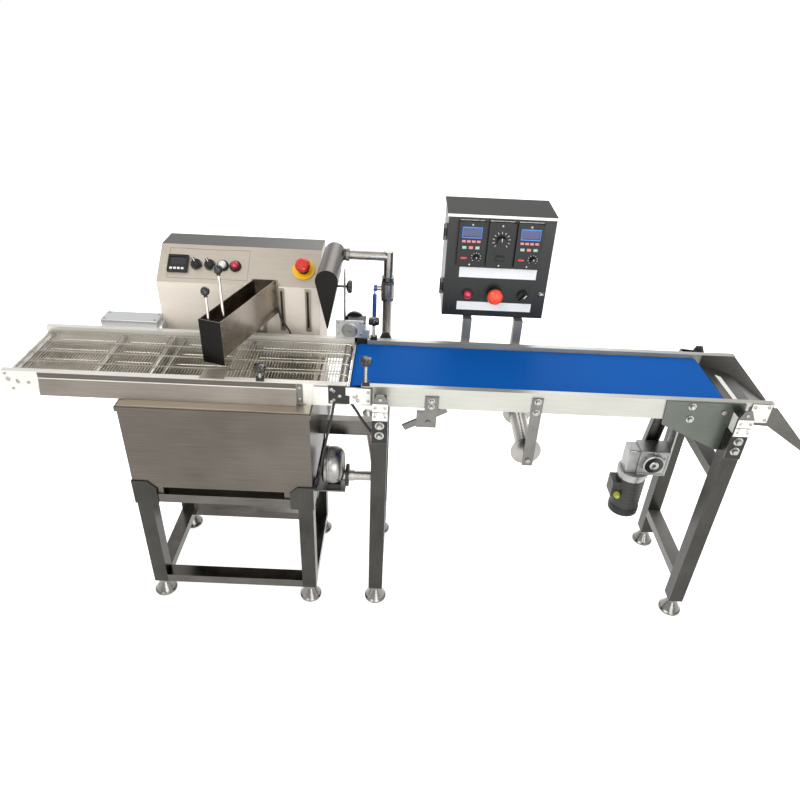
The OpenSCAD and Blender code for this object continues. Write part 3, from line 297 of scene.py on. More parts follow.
# Aluminium: grainy casting, the blower's spun casing, and the paler gearbox
CAST = Finish("cast_aluminium", "868786", "5f605f", 0.9, 0.42, 0.1, (1.4, 1.4, 1.4), 30, 0.4, 0.2,
              slot="cast_aluminium")
SPUN = Finish("spun_aluminium_casing", "a3a19e", "757371", 1, 0.3, 0.08, (1.2, 40, 40), 60, 0.45, 0.06,
              slot="cast_aluminium")
GEARBOX = Finish("cast_aluminium_gearbox", "b4b4b2", "7c7c7a", 1, 0.32, 0.1, (1.4, 1.4, 1.4), 30, 0.4, 0.2,
                 slot="cast_aluminium")
MOTOR = Finish("olive_grey_motor_enamel", "2d2d2a", "1f1f1d", 0.2, 0.42, 0.08, (1.2, 1.2, 1.2), 40, 0.3, 0.08,
               slot="motor_paint")
RUBBER = Finish("black_cable_rubber", "1b1b1c", "0e0e0e", 0, 0.5, 0.08, (1, 1, 1), 20, 0.3, 0.04,
                slot="black_plastic")
CHUTE = Finish("mill_stainless_chute", "686662", "494743", 1, 0.38, 0.1, (40, 0.9, 0.9), 110, 0.4, 0.05)
# White acetal spacer blocks
ACETAL = Finish("white_acetal", "ecebe6", "d8d6cf", 0, 0.42, 0.06, (1.4, 1.4, 1.4), 30, 0.3, 0.03,
                slot="bright_steel")
# Bare label plate, pale grey film
PLATE = Finish("pale_label_film", "dfe1e0", "d0d2d1", 0, 0.42, 0.05, (1.2, 1.2, 1.2), 40, 0.3, 0.02,
               slot="bright_steel")
BLUE_GLASS = Finish("dark_violet_display", "252a66", "191c48", 0, 0.14, 0.03, (1, 1, 1), 12, 0.3, 0, 0.5, 0.5, 0.15,
                    slot="blue_paint")
BLUE_FRAME = Finish("bright_blue_bezel", "3f88d6", "2b6cb5", 0, 0.35, 0.04, (1, 1, 1), 12, 0.3, 0.02,
                    slot="blue_paint")
LAMP_RED = Finish("crimson_lamp_lens", "bf1438", "930c28", 0, 0.2, 0.04, (1, 1, 1), 10, 0.3, 0.02, 0.4,
                  slot="red_plastic")
DARK_GLASS = Finish("dark_display_window", "101418", "07090b", 0, 0.1, 0.03, (2, 2, 2), 15, 0.3, 0, 0.5,
                    slot="black_plastic")
KEY_PINK = Finish("pink_key_membrane", "d98a8c", "bd6d70", 0, 0.45, 0.05, (1, 1, 1), 10, 0.3, 0.02,
                  slot="red_plastic")
KEY_GREEN = Finish("mint_key_membrane", "a3c8b3", "86ad98", 0, 0.45, 0.05, (1, 1, 1), 10, 0.3, 0.02,
                   slot="black_plastic")
WHITE_INK = Finish("white_ink", "e9e9e6", "d4d4d0", 0, 0.5, 0.05, (1, 1, 1), 10, 0.3, 0.01, slot="black_plastic")
GREY_INK = Finish("grey_ink", "77736d", "635f5a", 0, 0.5, 0.05, (1, 1, 1), 10, 0.3, 0.01)
CLEAR_LENS = Finish("clear_lamp_lens", "d8d8d4", "bdbdb8", 0, 0.12, 0.03, (1, 1, 1), 8, 0.3, 0.02, 0.5,
                    slot="polished_steel")
BOLT = Finish("zinc_plated_bolt", "b9b8b4", "8b8a86", 1, 0.28, 0.08, (1, 1, 1), 12, 0.4, 0.05, slot="bright_steel")
GLAND = Finish("green_yellow_gland", "b9b832", "8f9a22", 0, 0.45, 0.06, (1, 1, 1), 15, 0.3, 0.04,
               slot="yellow_plastic")

NODE_FINISH: dict[str, Finish] = {
    "base_legs": LEG, "base_rails": CROSS_TUBE, "levelling_feet": CHROME, "tank_shell": TANK, "inner_vat": SHEET,
    "heater": DARK_PLATE, "pump_casing": SHEET, "pump_rotor": SHEET, "pump_motor": MOTOR, "cabinet": CABINET,
    "temp_controller": BLACK, "panel_fittings": CHROME, "estop_plate": YELLOW, "selector_a": BLACK,
    "selector_b": BLACK, "cabinet_estop": RED, "cables": RUBBER, "enrober_rails": RAIL,
    "side_cover": COVER, "wire_belt": WIRE, "infeed_roller": ROLLER, "wire_drive_roller": ROLLER,
    "support_roller": ROLLER, "transfer_roller": ROLLER, "infeed_pan": PAN, "flow_box": FLOW,
    "gate_front": PHENOLIC, "gate_side": PHENOLIC, "air_knife": KNIFE, "air_pipe": PIPE,
    "valve_lever": BLUE_PAINT, "blower": SPUN, "rear_gearmotors": CAST, "side_plates": END_PLATE,
    "detailing_rod": WIRE, "clamp_knobs": PHENOLIC, "outfeed_rails": OUT_RAIL, "conveyor_legs": LEG,
    "support_bars": POST, "bracket_plates": BRACKET, "conveyor_belt": BELT, "belt_bed": SHEET,
    "nose_roller": ROLLER, "drive_roller": ROLLER, "discharge_chute": CHUTE, "drive_gearmotor": GEARBOX,
    "motor_sprocket": DARK_PLATE, "drive_chain": DARK_PLATE, "chain_guard": BRACKET, "spool": ROLLER,
    "scraper": BRACKET, "control_box": BOX_STEEL, "control_door": DOOR_STEEL, "speed_controllers": BLACK,
    "door_fittings": BLACK, "door_estop": ORANGE_RED, "door_selector": BLACK, "left_dial": BLACK,
    "centre_dial": BLACK, "right_dial": BLACK,
}


@dataclass
class Shape:
    """Vertices in millimetres of the line's own frame, with faces as index lists."""

    verts: np.ndarray
    faces: list[list[int]]

    def moved(self, by: Sequence[float]) -> "Shape":
        """The shape shifted by a vector in millimetres."""
        return Shape(self.verts + np.asarray(by, float), self.faces)

    def turned(self, axis: Sequence[float], degrees: float) -> "Shape":
        """The shape turned about an axis through the origin."""
        turn = np.array(Matrix.Rotation(math.radians(degrees), 3, Vector(axis)))
        return Shape(self.verts @ turn.T, self.faces)


def joined(shapes: Sequence[Shape]) -> Shape:
    """Several shapes as one, with face numbers shifted.

    Args:
        shapes: shapes to join.

    Returns:
        One shape of loose parts.
    """
    starts = np.cumsum([0] + [len(s.verts) for s in shapes[:-1]])
    faces = [[i + int(k) for i in face] for s, k in zip(shapes, starts) for face in s.faces]
    return Shape(np.concatenate([s.verts for s in shapes]), faces)


def grid_faces(rows: int, cols: int) -> np.ndarray:
    """Quads of a grid of rows and columns that closes across the columns.

    Args:
        rows: points along the grid.
        cols: points round it.

    Returns:
        Four point numbers for each quad.
    """
    r, c = np.arange(rows - 1)[:, None], np.arange(cols)[None, :]
    d = (c + 1) % cols
    quads = np.stack(np.broadcast_arrays(r * cols + c, r * cols + d, (r + 1) * cols + d, (r + 1) * cols + c), -1)
    return quads.reshape(-1, 4)


def capped(verts: np.ndarray) -> Shape:
    """Rings of points, one row each, closed into a shape with a face at either end.

    Args:
        verts: rings of points in millimetres.

    Returns:
        The closed shape.
    """
    rows, sides = verts.shape[:2]
    last = (rows - 1) * sides
    ends = [list(range(sides))[::-1], list(range(last, last + sides))]
    return Shape(verts.reshape(-1, 3), grid_faces(rows, sides).tolist() + ends)


def frame_of(axis: Sequence[float]) -> np.ndarray:
    """Two unit vectors square to an axis and the axis, as rows.

    Args:
        axis: direction, of any length.

    Returns:
        The three vectors.
    """
    w = np.asarray(axis, float)
    w = w / np.linalg.norm(w)
    helper = np.array([0.0, 0.0, 1.0]) if abs(w[2]) < 0.9 else np.array([1.0, 0.0, 0.0])
    u = np.cross(helper, w)
    u = u / np.linalg.norm(u)
    return np.array([u, np.cross(w, u), w])


def arc(radius: float, first: float, last: float, steps: int, rise: float = 0.0) -> np.ndarray:
    """Points on an arc: cosine and sine of even angles times the radius, with another height where rise is given.

    Args:
        radius: radius in millimetres.
        first: first angle in radians.
        last: last angle in radians.
        steps: number of points.
        rise: height of an ellipse's quarter, or 0 for a circle.

    Returns:
        One row for each point.
    """
    turn = np.linspace(first, last, steps)
    return np.stack([radius * np.cos(turn), (rise or radius) * np.sin(turn)], 1)


def lathe(profile: Sequence[Sequence[float]], at: Sequence[float], axis: Axis, sides: int = 32,
          lobes: int = 0, depth: float = 0.0) -> Shape:
    """A profile of radius and height turned round an axis; lobes scallop the radius by a cosine.

    Args:
        profile: radius and height pairs, from the base up.
        at: base point in millimetres.
        axis: direction of the axis.
        sides: steps round the axis.
        lobes: number of scallops, or none.
        depth: share of the radius that a scallop takes.

    Returns:
        The closed shape.
    """
    pr = np.asarray(profile, float)
    turn = np.linspace(0.0, 2.0 * math.pi, sides, endpoint=False)
    swell = 1.0 + depth * np.cos(lobes * turn)
    u, v, w = frame_of(axis.value)
    ring = np.cos(turn)[:, None] * u + np.sin(turn)[:, None] * v
    radius = pr[:, 0][:, None] * swell[None, :]
    return capped(np.asarray(at, float) + radius[..., None] * ring[None] + pr[:, 1][:, None, None] * w)


def rings(path: np.ndarray, radius: float, sides: int, helper: Sequence[float] | None = None) -> np.ndarray:
    """Rings square to a path's run: its tangent crossed with a helper gives each ring's two directions.

    Args:
        path: points in millimetres, or a stack of such paths.
        radius: radius of the rings.
        sides: points in a ring.
        helper: direction to cross with, or the axis that the path turns least to.

    Returns:
        A ring for each point.
    """
    t = np.gradient(path, axis=-2)
    t = t / np.linalg.norm(t, axis=-1, keepdims=True)
    least = np.eye(3)[np.argmin(np.abs(t).reshape(-1, 3).max(axis=0))]
    u = np.cross(t, least if helper is None else helper)
    u = u / np.linalg.norm(u, axis=-1, keepdims=True)
    turn = np.linspace(0.0, 2.0 * math.pi, sides, endpoint=False)[:, None]
    around = np.cos(turn) * u[..., None, :] + np.sin(turn) * np.cross(t, u)[..., None, :]
    return path[..., None, :] + radius * around


def tube(path: Sequence[Sequence[float]], radius: float, sides: int) -> Shape:
    """A round section carried along a path in millimetres, closed at both ends."""
    return capped(rings(np.asarray(path, float), radius, sides))


def smooth_path(points: Sequence[Sequence[float]], steps: int) -> np.ndarray:
    """A cubic curve through the points by Catmull-Rom blending, sampled evenly in its parameter.

    Args:
        points: points that the curve passes.
        steps: number of samples.

    Returns:
        The samples.
    """
    p = np.asarray(points, float)
    p = np.concatenate([2 * p[:1] - p[1:2], p, 2 * p[-1:] - p[-2:-1]])
    s = np.linspace(0.0, len(p) - 3.001, steps)
    i = s.astype(int)
    f = (s - i)[:, None]
    a, b, c, d = p[i], p[i + 1], p[i + 2], p[i + 3]
    return 0.5 * (2 * b + (c - a) * f + (2 * a - 5 * b + 4 * c - d) * f ** 2 + (3 * b - a - 3 * c + d) * f ** 3)


def slab(low: Sequence[float], high: Sequence[float]) -> Shape:
    """A block between two corners: each vertex takes either corner's number on each axis.

    Args:
        low: corner with the lower numbers.
        high: opposite corner.

    Returns:
        The closed shape.
    """
    lo, hi = np.asarray(low, float), np.asarray(high, float)
    pick = np.array([[x, y, z] for z in (0, 1) for y in (0, 1) for x in (0, 1)])
    faces = [[0, 2, 3, 1], [4, 5, 7, 6], [0, 1, 5, 4], [2, 6, 7, 3], [0, 4, 6, 2], [1, 3, 7, 5]]
    return Shape(lo + pick * (hi - lo), faces)


def on_side(face: float, out: float, thick: float, x: Sequence[float], z: Sequence[float]) -> Shape:
    """A block that stands out of an upright face by its thickness, between two places along and up the face."""
    low, high = sorted((face, face + thick * out))
    return slab((x[0], low, z[0]), (x[1], high, z[1]))


def border(plate: Callable[..., Shape], x: Sequence[float], z: Sequence[float], wide: Sequence[float], out: float,
           thick: float) -> list[Shape]:
    """Four bars round a rectangle: the level ones in full, the upright ones between them.

    Args:
        plate: maker of a flat plate from its spans, height and thickness.
        x: outer span along the panel.
        z: outer span up the panel.
        wide: widths of the upright and of the level bars.
        out: how far out the bars start.
        thick: thickness of the bars.

    Returns:
        The bars.
    """
    between = (z[0] + wide[1], z[1] - wide[1])
    spans = ((x, (z[0], between[0])), (x, (between[1], z[1])),
             ((x[0], x[0] + wide[0]), between), ((x[1] - wide[0], x[1]), between))
    return [plate(across, up, out, thick) for across, up in spans]


def prism(outline: Sequence[Sequence[float]], at: Sequence[float], u: Sequence[float], v: Sequence[float],
          deep: float) -> Shape:
    """A flat outline in the u and v directions pushed along their cross product.

    Args:
        outline: corners as distances along u and v.
        at: point that the distances start from.
        u: first direction.
        v: second direction.
        deep: depth of the push.

    Returns:
        The closed shape.
    """
    o = np.asarray(outline, float)
    u, v = np.asarray(u, float), np.asarray(v, float)
    low = np.asarray(at, float) + o[:, :1] * u + o[:, 1:] * v
    n = len(o)
    k = np.arange(n)
    sides = np.stack([k, (k + 1) % n, (k + 1) % n + n, k + n], 1).tolist()
    ends = [list(range(n))[::-1], list(range(n, 2 * n))]
    return Shape(np.concatenate([low, low + deep * np.cross(u, v)]), ends + sides)


def piece(name: str, shape: Shape | Sequence[Shape], finish: Finish, body: Body = Body.MACHINE, bevel_mm: float = 0.0,
          replaces: Sequence[str] = (), slot: str = "") -> bpy.types.Object:
    """Puts a shape into the scene as a dressed piece that rides on a body.

    Args:
        name: piece name.
        shape: one shape, or several to join.
        finish: surface finish.
        body: body that carries the piece.
        bevel_mm: edge rounding, or none.
        replaces: CAD nodes that the piece stands for.
        slot: a material slot name, where it isn't the finish's own; not used.

    Returns:
        The new object.
    """
    whole = shape if isinstance(shape, Shape) else joined(shape)
    mesh = bpy.data.meshes.new(name)
    mesh.from_pydata(((whole.verts - MID) * MM).tolist(), [], whole.faces)
    mesh.update()
    obj = bpy.data.objects.new(name, mesh)
    bpy.context.scene.collection.objects.link(obj)
    mesh.materials.append(finish.material())
    mesh.shade_smooth()
    mesh.set_sharp_from_angle(angle=SHARP_EDGE)
    if bevel_mm:
        edge = obj.modifiers.new("edge", "BEVEL")
        edge.width = bevel_mm * MM
        edge.segments = 2
        edge.limit_method = "ANGLE"
    slot = slot or finish.slot
    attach(obj, body.value)
    if replaces:
        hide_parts(*replaces)
    log.info("%s: %d faces on %s", name, len(mesh.polygons), body.value)
    return obj


def hex_bolt(at: Sequence[float], axis: Axis, across: float) -> Shape:
    """A washer and a six-sided head with a turned top, as one lathe each.

    Args:
        at: point under the washer.
        axis: direction of the head.
        across: size across the head's flats.

    Returns:
        The bolt as one shape.
    """
    r = across / 2.0
    washer = lathe([(r * 1.7, 0), (r * 1.7, 1.2)], at, axis, 24)
    up = np.asarray(at, float) + 1.2 * np.asarray(axis.value)
    head = lathe([(r * 1.15, 0), (r * 1.15, r * 0.9), (r * 0.95, r * 1.15)], up, axis, 6)
    return joined([washer, head])


def button_screw(at: Sequence[float], axis: Axis, r: float = 4.0) -> Shape:
    """A domed screw head with a sunk socket, from one turned profile in shares of its radius."""
    profile = r * np.array([(1, 0), (1, 0.25), (0.85, 0.5), (0.5, 0.62), (0.45, 0.62), (0.42, 0.3)])
    return lathe(profile, at, axis, 18)


@dataclass
class Stage:
    """Floor, light and camera."""

    camera_mm: tuple[float, float, float] = (925.676, -1335.123, 1502.307)
    yaw: float = 0.24438
    pitch: float = 32.65447
    roll: float = -2.64905
    focal_px: float = 666.925
    frame_px: float = 800.0
    floor_half: float = 14.0
    aim: tuple[float, float, float] = (0.0, 0.0, 0.6)

    def build(self) -> None:
        """Camera first, then the floor, lamps and the white surroundings."""
        scene = bpy.context.scene
        scene.view_settings.view_transform = "Standard"
        self._camera(scene)
        self._floor()
        self._lamps()
        self._world(scene)

    def _camera(self, scene: bpy.types.Scene) -> None:
        """Camera at the photograph's place: yaw about Z, pitch down, roll about its own axis.

        Args:
            scene: scene that takes the camera.
        """
        psi, theta, rho = (math.radians(a) for a in (self.yaw, self.pitch, self.roll))
        ahead = np.array([math.sin(psi) * math.cos(theta), math.cos(psi) * math.cos(theta), -math.sin(theta)])
        right = np.array([math.cos(psi), -math.sin(psi), 0.0])
        down = np.cross(ahead, right)
        r = math.cos(rho) * right + math.sin(rho) * down
        d = -math.sin(rho) * right + math.cos(rho) * down
        data = bpy.data.cameras.new("camera")
        data.sensor_width = 36.0
        data.lens = self.focal_px * data.sensor_width / self.frame_px
        data.clip_end = 50.0
        cam = bpy.data.objects.new("camera", data)
        spot = (np.array(self.camera_mm) - MID) * MM
        turn = np.stack([r, -d, -ahead], 1)
        cam.matrix_world = Matrix.Translation(Vector(spot)) @ Matrix(turn.tolist()).to_4x4()
        scene.collection.objects.link(cam)
        scene.camera = cam

    def _floor(self) -> None:
        """Pale floor that the camera and mirrors see as white and that still takes the shadow."""
        mesh = bpy.data.meshes.new("floor")
        h = self.floor_half
        mesh.from_pydata([(-h, -h, 0), (h, -h, 0), (h, h, 0), (-h, h, 0)], [], [(0, 1, 2, 3)])
        floor = bpy.data.objects.new("floor", mesh)
        bpy.context.scene.collection.objects.link(floor)
        made = bpy.data.materials.new("floor_paper")
        tree = bare_tree(made)
        diffuse = add_node(tree, "ShaderNodeBsdfDiffuse", {"Color": (0.9, 0.9, 0.9, 1.0)}).outputs[0]
        white = add_node(tree, "ShaderNodeEmission", {"Color": (1.0, 1.0, 1.0, 1.0), "Strength": 0.62}).outputs[0]
        lit = add_node(tree, "ShaderNodeAddShader", None, {0: diffuse, 1: white}).outputs[0]
        seen = seen_by(tree, "Is Camera Ray", "Is Glossy Ray")
        mix = add_node(tree, "ShaderNodeMixShader", None, {0: seen, 1: diffuse, 2: lit}).outputs[0]
        add_node(tree, "ShaderNodeOutputMaterial", None, {"Surface": mix})
        mesh.materials.append(made)

    def _lamps(self) -> None:
        """Large soft lamps: one high key, one low fill and one behind for the edges."""
        for name, spot, side, size, watts in (("key", (-1.6, -2.2, 3.2), 0.0, 2.4, 50.0),
                                              ("fill", (0.9, -3.3, 1.5), 0.1, 2.8, 70.0),
                                              ("back", (0.3, 2.6, 2.8), 0.0, 2.6, 40.0)):
            data = bpy.data.lights.new(name, "AREA")
            data.shape = "DISK"
            data.size = size
            data.energy = watts
            lamp = bpy.data.objects.new(name, data)
            toward = Vector(self.aim) + Vector((side, 0.0, 0.0)) - Vector(spot)
            lamp.matrix_world = Matrix.Translation(Vector(spot)) @ toward.to_track_quat("-Z", "Y").to_matrix().to_4x4()
            bpy.context.scene.collection.objects.link(lamp)

    def _world(self, scene: bpy.types.Scene) -> None:
        """White to the camera, mirrors and glass, and a softer light to the rest, dimmer from below.

        Args:
            scene: scene that takes the surroundings.
        """
        scene.world = bpy.data.worlds.new("studio")
        tree = bare_tree(scene.world)
        up = add_node(tree, "ShaderNodeTexCoord").outputs["Generated"]
        height = add_node(tree, "ShaderNodeSeparateXYZ", None, {0: up}).outputs[2]
        sky = add_node(
            tree, "ShaderNodeMapRange", {"From Min": -0.2, "From Max": 0.9, "To Min": 0.5, "To Max": 0.9},
            {"Value": height},
        ).outputs[0]
        paper = (1.0, 1.0, 1.0, 1.0)
        soft = add_node(tree, "ShaderNodeBackground", {"Color": paper}, {"Strength": sky}).outputs[0]
        white = add_node(tree, "ShaderNodeBackground", {"Color": paper, "Strength": 1.0}).outputs[0]
        seen = seen_by(tree, "Is Camera Ray", "Is Transmission Ray", "Is Glossy Ray")
        mix = add_node(tree, "ShaderNodeMixShader", None, {0: seen, 1: soft, 2: white}).outputs[0]
        add_node(tree, "ShaderNodeOutputWorld", None, {"Surface": mix})


@dataclass
class WireBelt:
    """Flat-flex wire belt: each cross wire bends round the one before it."""

    first_x: float = 14
    last_x: float = 792
    near: float = 4
    far: float = 211
    axis_z: float = 667.5
    mid_r: float = 11.5
    pitch: float = 7.4
    wire_r: float = 0.85
    links: int = 4
    sides: int = 5

    def build(self) -> None:
        """One wire's path repeated round the whole loop as an array, then tubed at once."""
        straight = self.last_x - self.first_x
        loop = 2 * straight + 2 * math.pi * self.mid_r
        count = int(loop // self.pitch)
        step = loop / count
        cell = (self.far - self.near) / self.links
        # Each link: a straight across, then a narrow hook reaching back over the wire before
        across = np.array([0, 0.90, 0.92, 0.96, 0.98])
        along = np.array([0, 0, 1.15, 1.15, 0])
        y = np.append((np.arange(self.links)[:, None] + across).ravel() * cell + self.near, self.far)
        reach = np.append(np.tile(along, self.links) * step, 0)
        s = np.arange(count)[:, None] * step + reach
        lift = np.where(reach > 0, 0.9, -0.9) * self.wire_r + 0 * s
        path = self._place(s % loop, lift, np.broadcast_to(y, s.shape), straight)
        points = rings(path, self.wire_r, self.sides, (0, 0, 1)).reshape(-1, 3)
        per_wire = path.shape[1] * self.sides
        quads = grid_faces(path.shape[1], self.sides) + (np.arange(count) * per_wire)[:, None, None]
        piece("wire_belt_mesh", Shape(points, quads.reshape(-1, 4).tolist()), WIRE, replaces=("wire_belt",))

    def _place(self, s: np.ndarray, lift: np.ndarray, y: np.ndarray, straight: float) -> np.ndarray:
        """Distance round the loop to a point: upper run, right turn, return run, left turn.

        Args:
            s: distances round the loop.
            lift: heights above the belt's middle line.
            y: places across the belt.
            straight: length of a run.

        Returns:
            A point for each distance.
        """
        turn = math.pi * self.mid_r
        upper = np.clip(s, 0, straight)
        lower = np.clip(s - straight - turn, 0, straight)
        bent = np.clip(s - straight, 0, turn) + np.clip(s - 2 * straight - turn, 0, turn)
        around = bent / self.mid_r
        r = self.mid_r + lift
        x = self.first_x + upper - lower + r * np.sin(around)
        return np.stack([x, y, self.axis_z + r * np.cos(around)], -1)


@dataclass
class PanelInstruments:
    """Lenses, pointers and the display on the cabinet's sloping panel."""

    left: float = 278
    front: float = 295
    low: float = 795
    row: float = 52
    handle_turn: float = 35

    def point(self, x: float, s: float, h: float) -> np.ndarray:
        """A point x from the left, s up the slope and h out of the panel."""
        up = s * math.sin(SLOPE) + h * math.cos(SLOPE)
        return np.array([self.left + x, self.front + s * math.cos(SLOPE) - h * math.sin(SLOPE), self.low + up])

    def sheet(self, outline: Sequence[Sequence[float]], h: float, thick: float) -> Shape:
        """An outline along and up the panel as a sheet that stands h out of it."""
        return prism(outline, self.point(0, 0, h), Axis.X.value, (0, math.cos(SLOPE), math.sin(SLOPE)), thick)

    def plate(self, x: Sequence[float], s: Sequence[float], h: float, thick: float) -> Shape:
        """A flat plate between two places along and up the panel."""
        return self.sheet([(x[0], s[0]), (x[1], s[0]), (x[1], s[1]), (x[0], s[1])], h, thick)

    def mark(self, x: float) -> Shape:
        """A white line on top of a selector's handle, turned with the handle.

        Args:
            x: the selector's place along the panel.

        Returns:
            The line as a sheet.
        """
        c, s = math.cos(math.radians(self.handle_turn)), math.sin(math.radians(self.handle_turn))
        rect = np.array([(-0.9, 1), (0.9, 1), (0.9, 11.5), (-0.9, 11.5)])
        return self.sheet(rect @ np.array([(c, s), (-s, c)]) + (x, self.row), 21, 0.3)

    def build(self) -> None:
        """Display, keys, border line, selector pointers, bezels, lamps and the stop button's collar."""
        piece("controller_window", self.plate((32, 72), (49, 69), 6, 0.6), DARK_GLASS)
        keys = [self.plate((33 + 10 * k, 40 + 10 * k), (33, 39), 9, 0.9) for k in range(4)]
        piece("controller_keys", keys, PLATE, bevel_mm=0.3, slot="black_plastic")
        piece("controller_rim", border(self.plate, (26, 78), (28, 76), (2, 2), 9, 1), BLACK, bevel_mm=0.3)
        piece("panel_border", border(self.plate, (25, 238), (12, 100), (0.8, 0.8), 0, 0.4), GREY_INK)
        bezel = [(15.3, 0), (15.3, 4), (14.2, 6.3), (13.4, 6.3)]
        for name, x, body in (("a", 100, Body.SELECTOR_A), ("b", 136, Body.SELECTOR_B)):
            piece(f"pointer_{name}", self.mark(x), WHITE_INK, body)
            piece(f"bezel_{name}", lathe(bezel, self.point(x, self.row, 0), Axis.PANEL, 40), CHROME)
        hoop = [(15.4, 0), (15.4, 5), (14.4, 7.2), (10.8, 7.2), (10.8, 6.2)]
        for name, x, finish in (("clear", 170, CLEAR_LENS), ("red", 203, LAMP_RED)):
            piece(f"lens_{name}", lathe(LENS_DOME, self.point(x, self.row, 6), Axis.PANEL), finish)
            piece(f"lamp_ring_{name}", lathe(hoop, self.point(x, self.row, 0), Axis.PANEL, 40), BLACK)
        collar = [(15.2, 0), (15.2, 11), (14.4, 12.3), (11.2, 12.3)]
        piece("stop_collar", lathe(collar, self.point(384, self.row, 3), Axis.PANEL), BLACK)


@dataclass
class FlowLevers:
    """Steel rods and black balls that lift the flow box's gates."""

    box_x: float = 487
    box_y: float = 36
    turn: float = math.radians(17.3)
    rods: tuple[tuple[str, Body, float, float, float], ...] = (
        ("front", Body.GATE_FRONT, -6, 8, 884), ("side", Body.GATE_SIDE, 17, 34, 930))
    rod_low: float = 772
    ball_r: float = 10.5

    def build(self) -> None:
        """A sleeve over each rod, with a ball and its collar on top, the box's front as a near-black sheet of painted
        shade, and the apron.
        """
        c, s = math.cos(self.turn), math.sin(self.turn)
        ball = arc(self.ball_r, -math.pi / 2 + 0.35, math.pi / 2 - 0.05, 14).tolist()
        for name, body, u, v, z in self.rods:
            x, y = self.box_x + u * c + v * s, self.box_y - u * s + v * c
            rod = lathe([(3.3, self.rod_low), (3.3, z - 8)], (x, y, 0), Axis.Z, 20)
            piece(f"gate_rod_{name}", rod, WIRE, body)
            knob = lathe([(5, -self.ball_r - 3)] + ball, (x, y, z), Axis.Z, 28)
            piece(f"gate_ball_{name}", knob, PHENOLIC, body)
        front = slab((-28.2, -0.8, 703.5), (28.2, 0.4, 815.2)).turned(Axis.Z.value, -math.degrees(self.turn))
        # Thin near-black sheet over the box's front: painted shade
        piece("flow_front_painted_shade", front.moved((self.box_x, self.box_y, 0)), FLOW_FRONT_SHADE)
        piece("flow_apron", slab((462, -14, 690.2), (520, 34, 691.6)), CABINET, bevel_mm=0.4)


@dataclass
class StarKnobs:
    """Scalloped clamp knobs on threaded studs."""

    rail_top: float = 690
    spots: tuple[tuple[float, float, float], ...] = ((850, -9, 56), (856, 224, 44), (604, -9, 26))
    lobes: int = 6
    scallop: float = 0.1

    def build(self) -> None:
        """Six-lobed knobs, studs with rings for their thread, and clamp blocks."""
        knobs, studs, blocks = [], [], []
        grip = [(7, -3), (8.5, -1), (12.5, 0), (14.2, 3), (14.2, 10), (12.5, 14), (6, 16), (1, 16.4)]
        for x, y, up in self.spots:
            knobs.append(lathe(grip, (x, y, self.rail_top + up), Axis.Z, 60, self.lobes, self.scallop))
            z = np.linspace(0.0, up, int(up * 2))
            thread = np.stack([4.2 + 0.25 * np.cos(z * math.pi), z], 1)
            studs.append(lathe(thread, (x, y, self.rail_top), Axis.Z, 16))
            blocks.append(slab((x - 9, y - 6.5, self.rail_top), (x + 9, y + 6.5, self.rail_top + 8.5)))
        piece("star_knobs", knobs, PHENOLIC, replaces=("clamp_knobs",))
        piece("knob_studs", studs, BOLT)
        piece("knob_blocks", blocks, DARK_PLATE, bevel_mm=0.8)
        knife = [(6, 0), (12, 3), (15, 5), (15, 12), (12, 15), (1, 16)]
        star = lathe(knife, (783, 247, 824), Axis.X, 60, self.lobes, self.scallop)
        piece("knife_knob", star, PHENOLIC, Body.KNIFE)


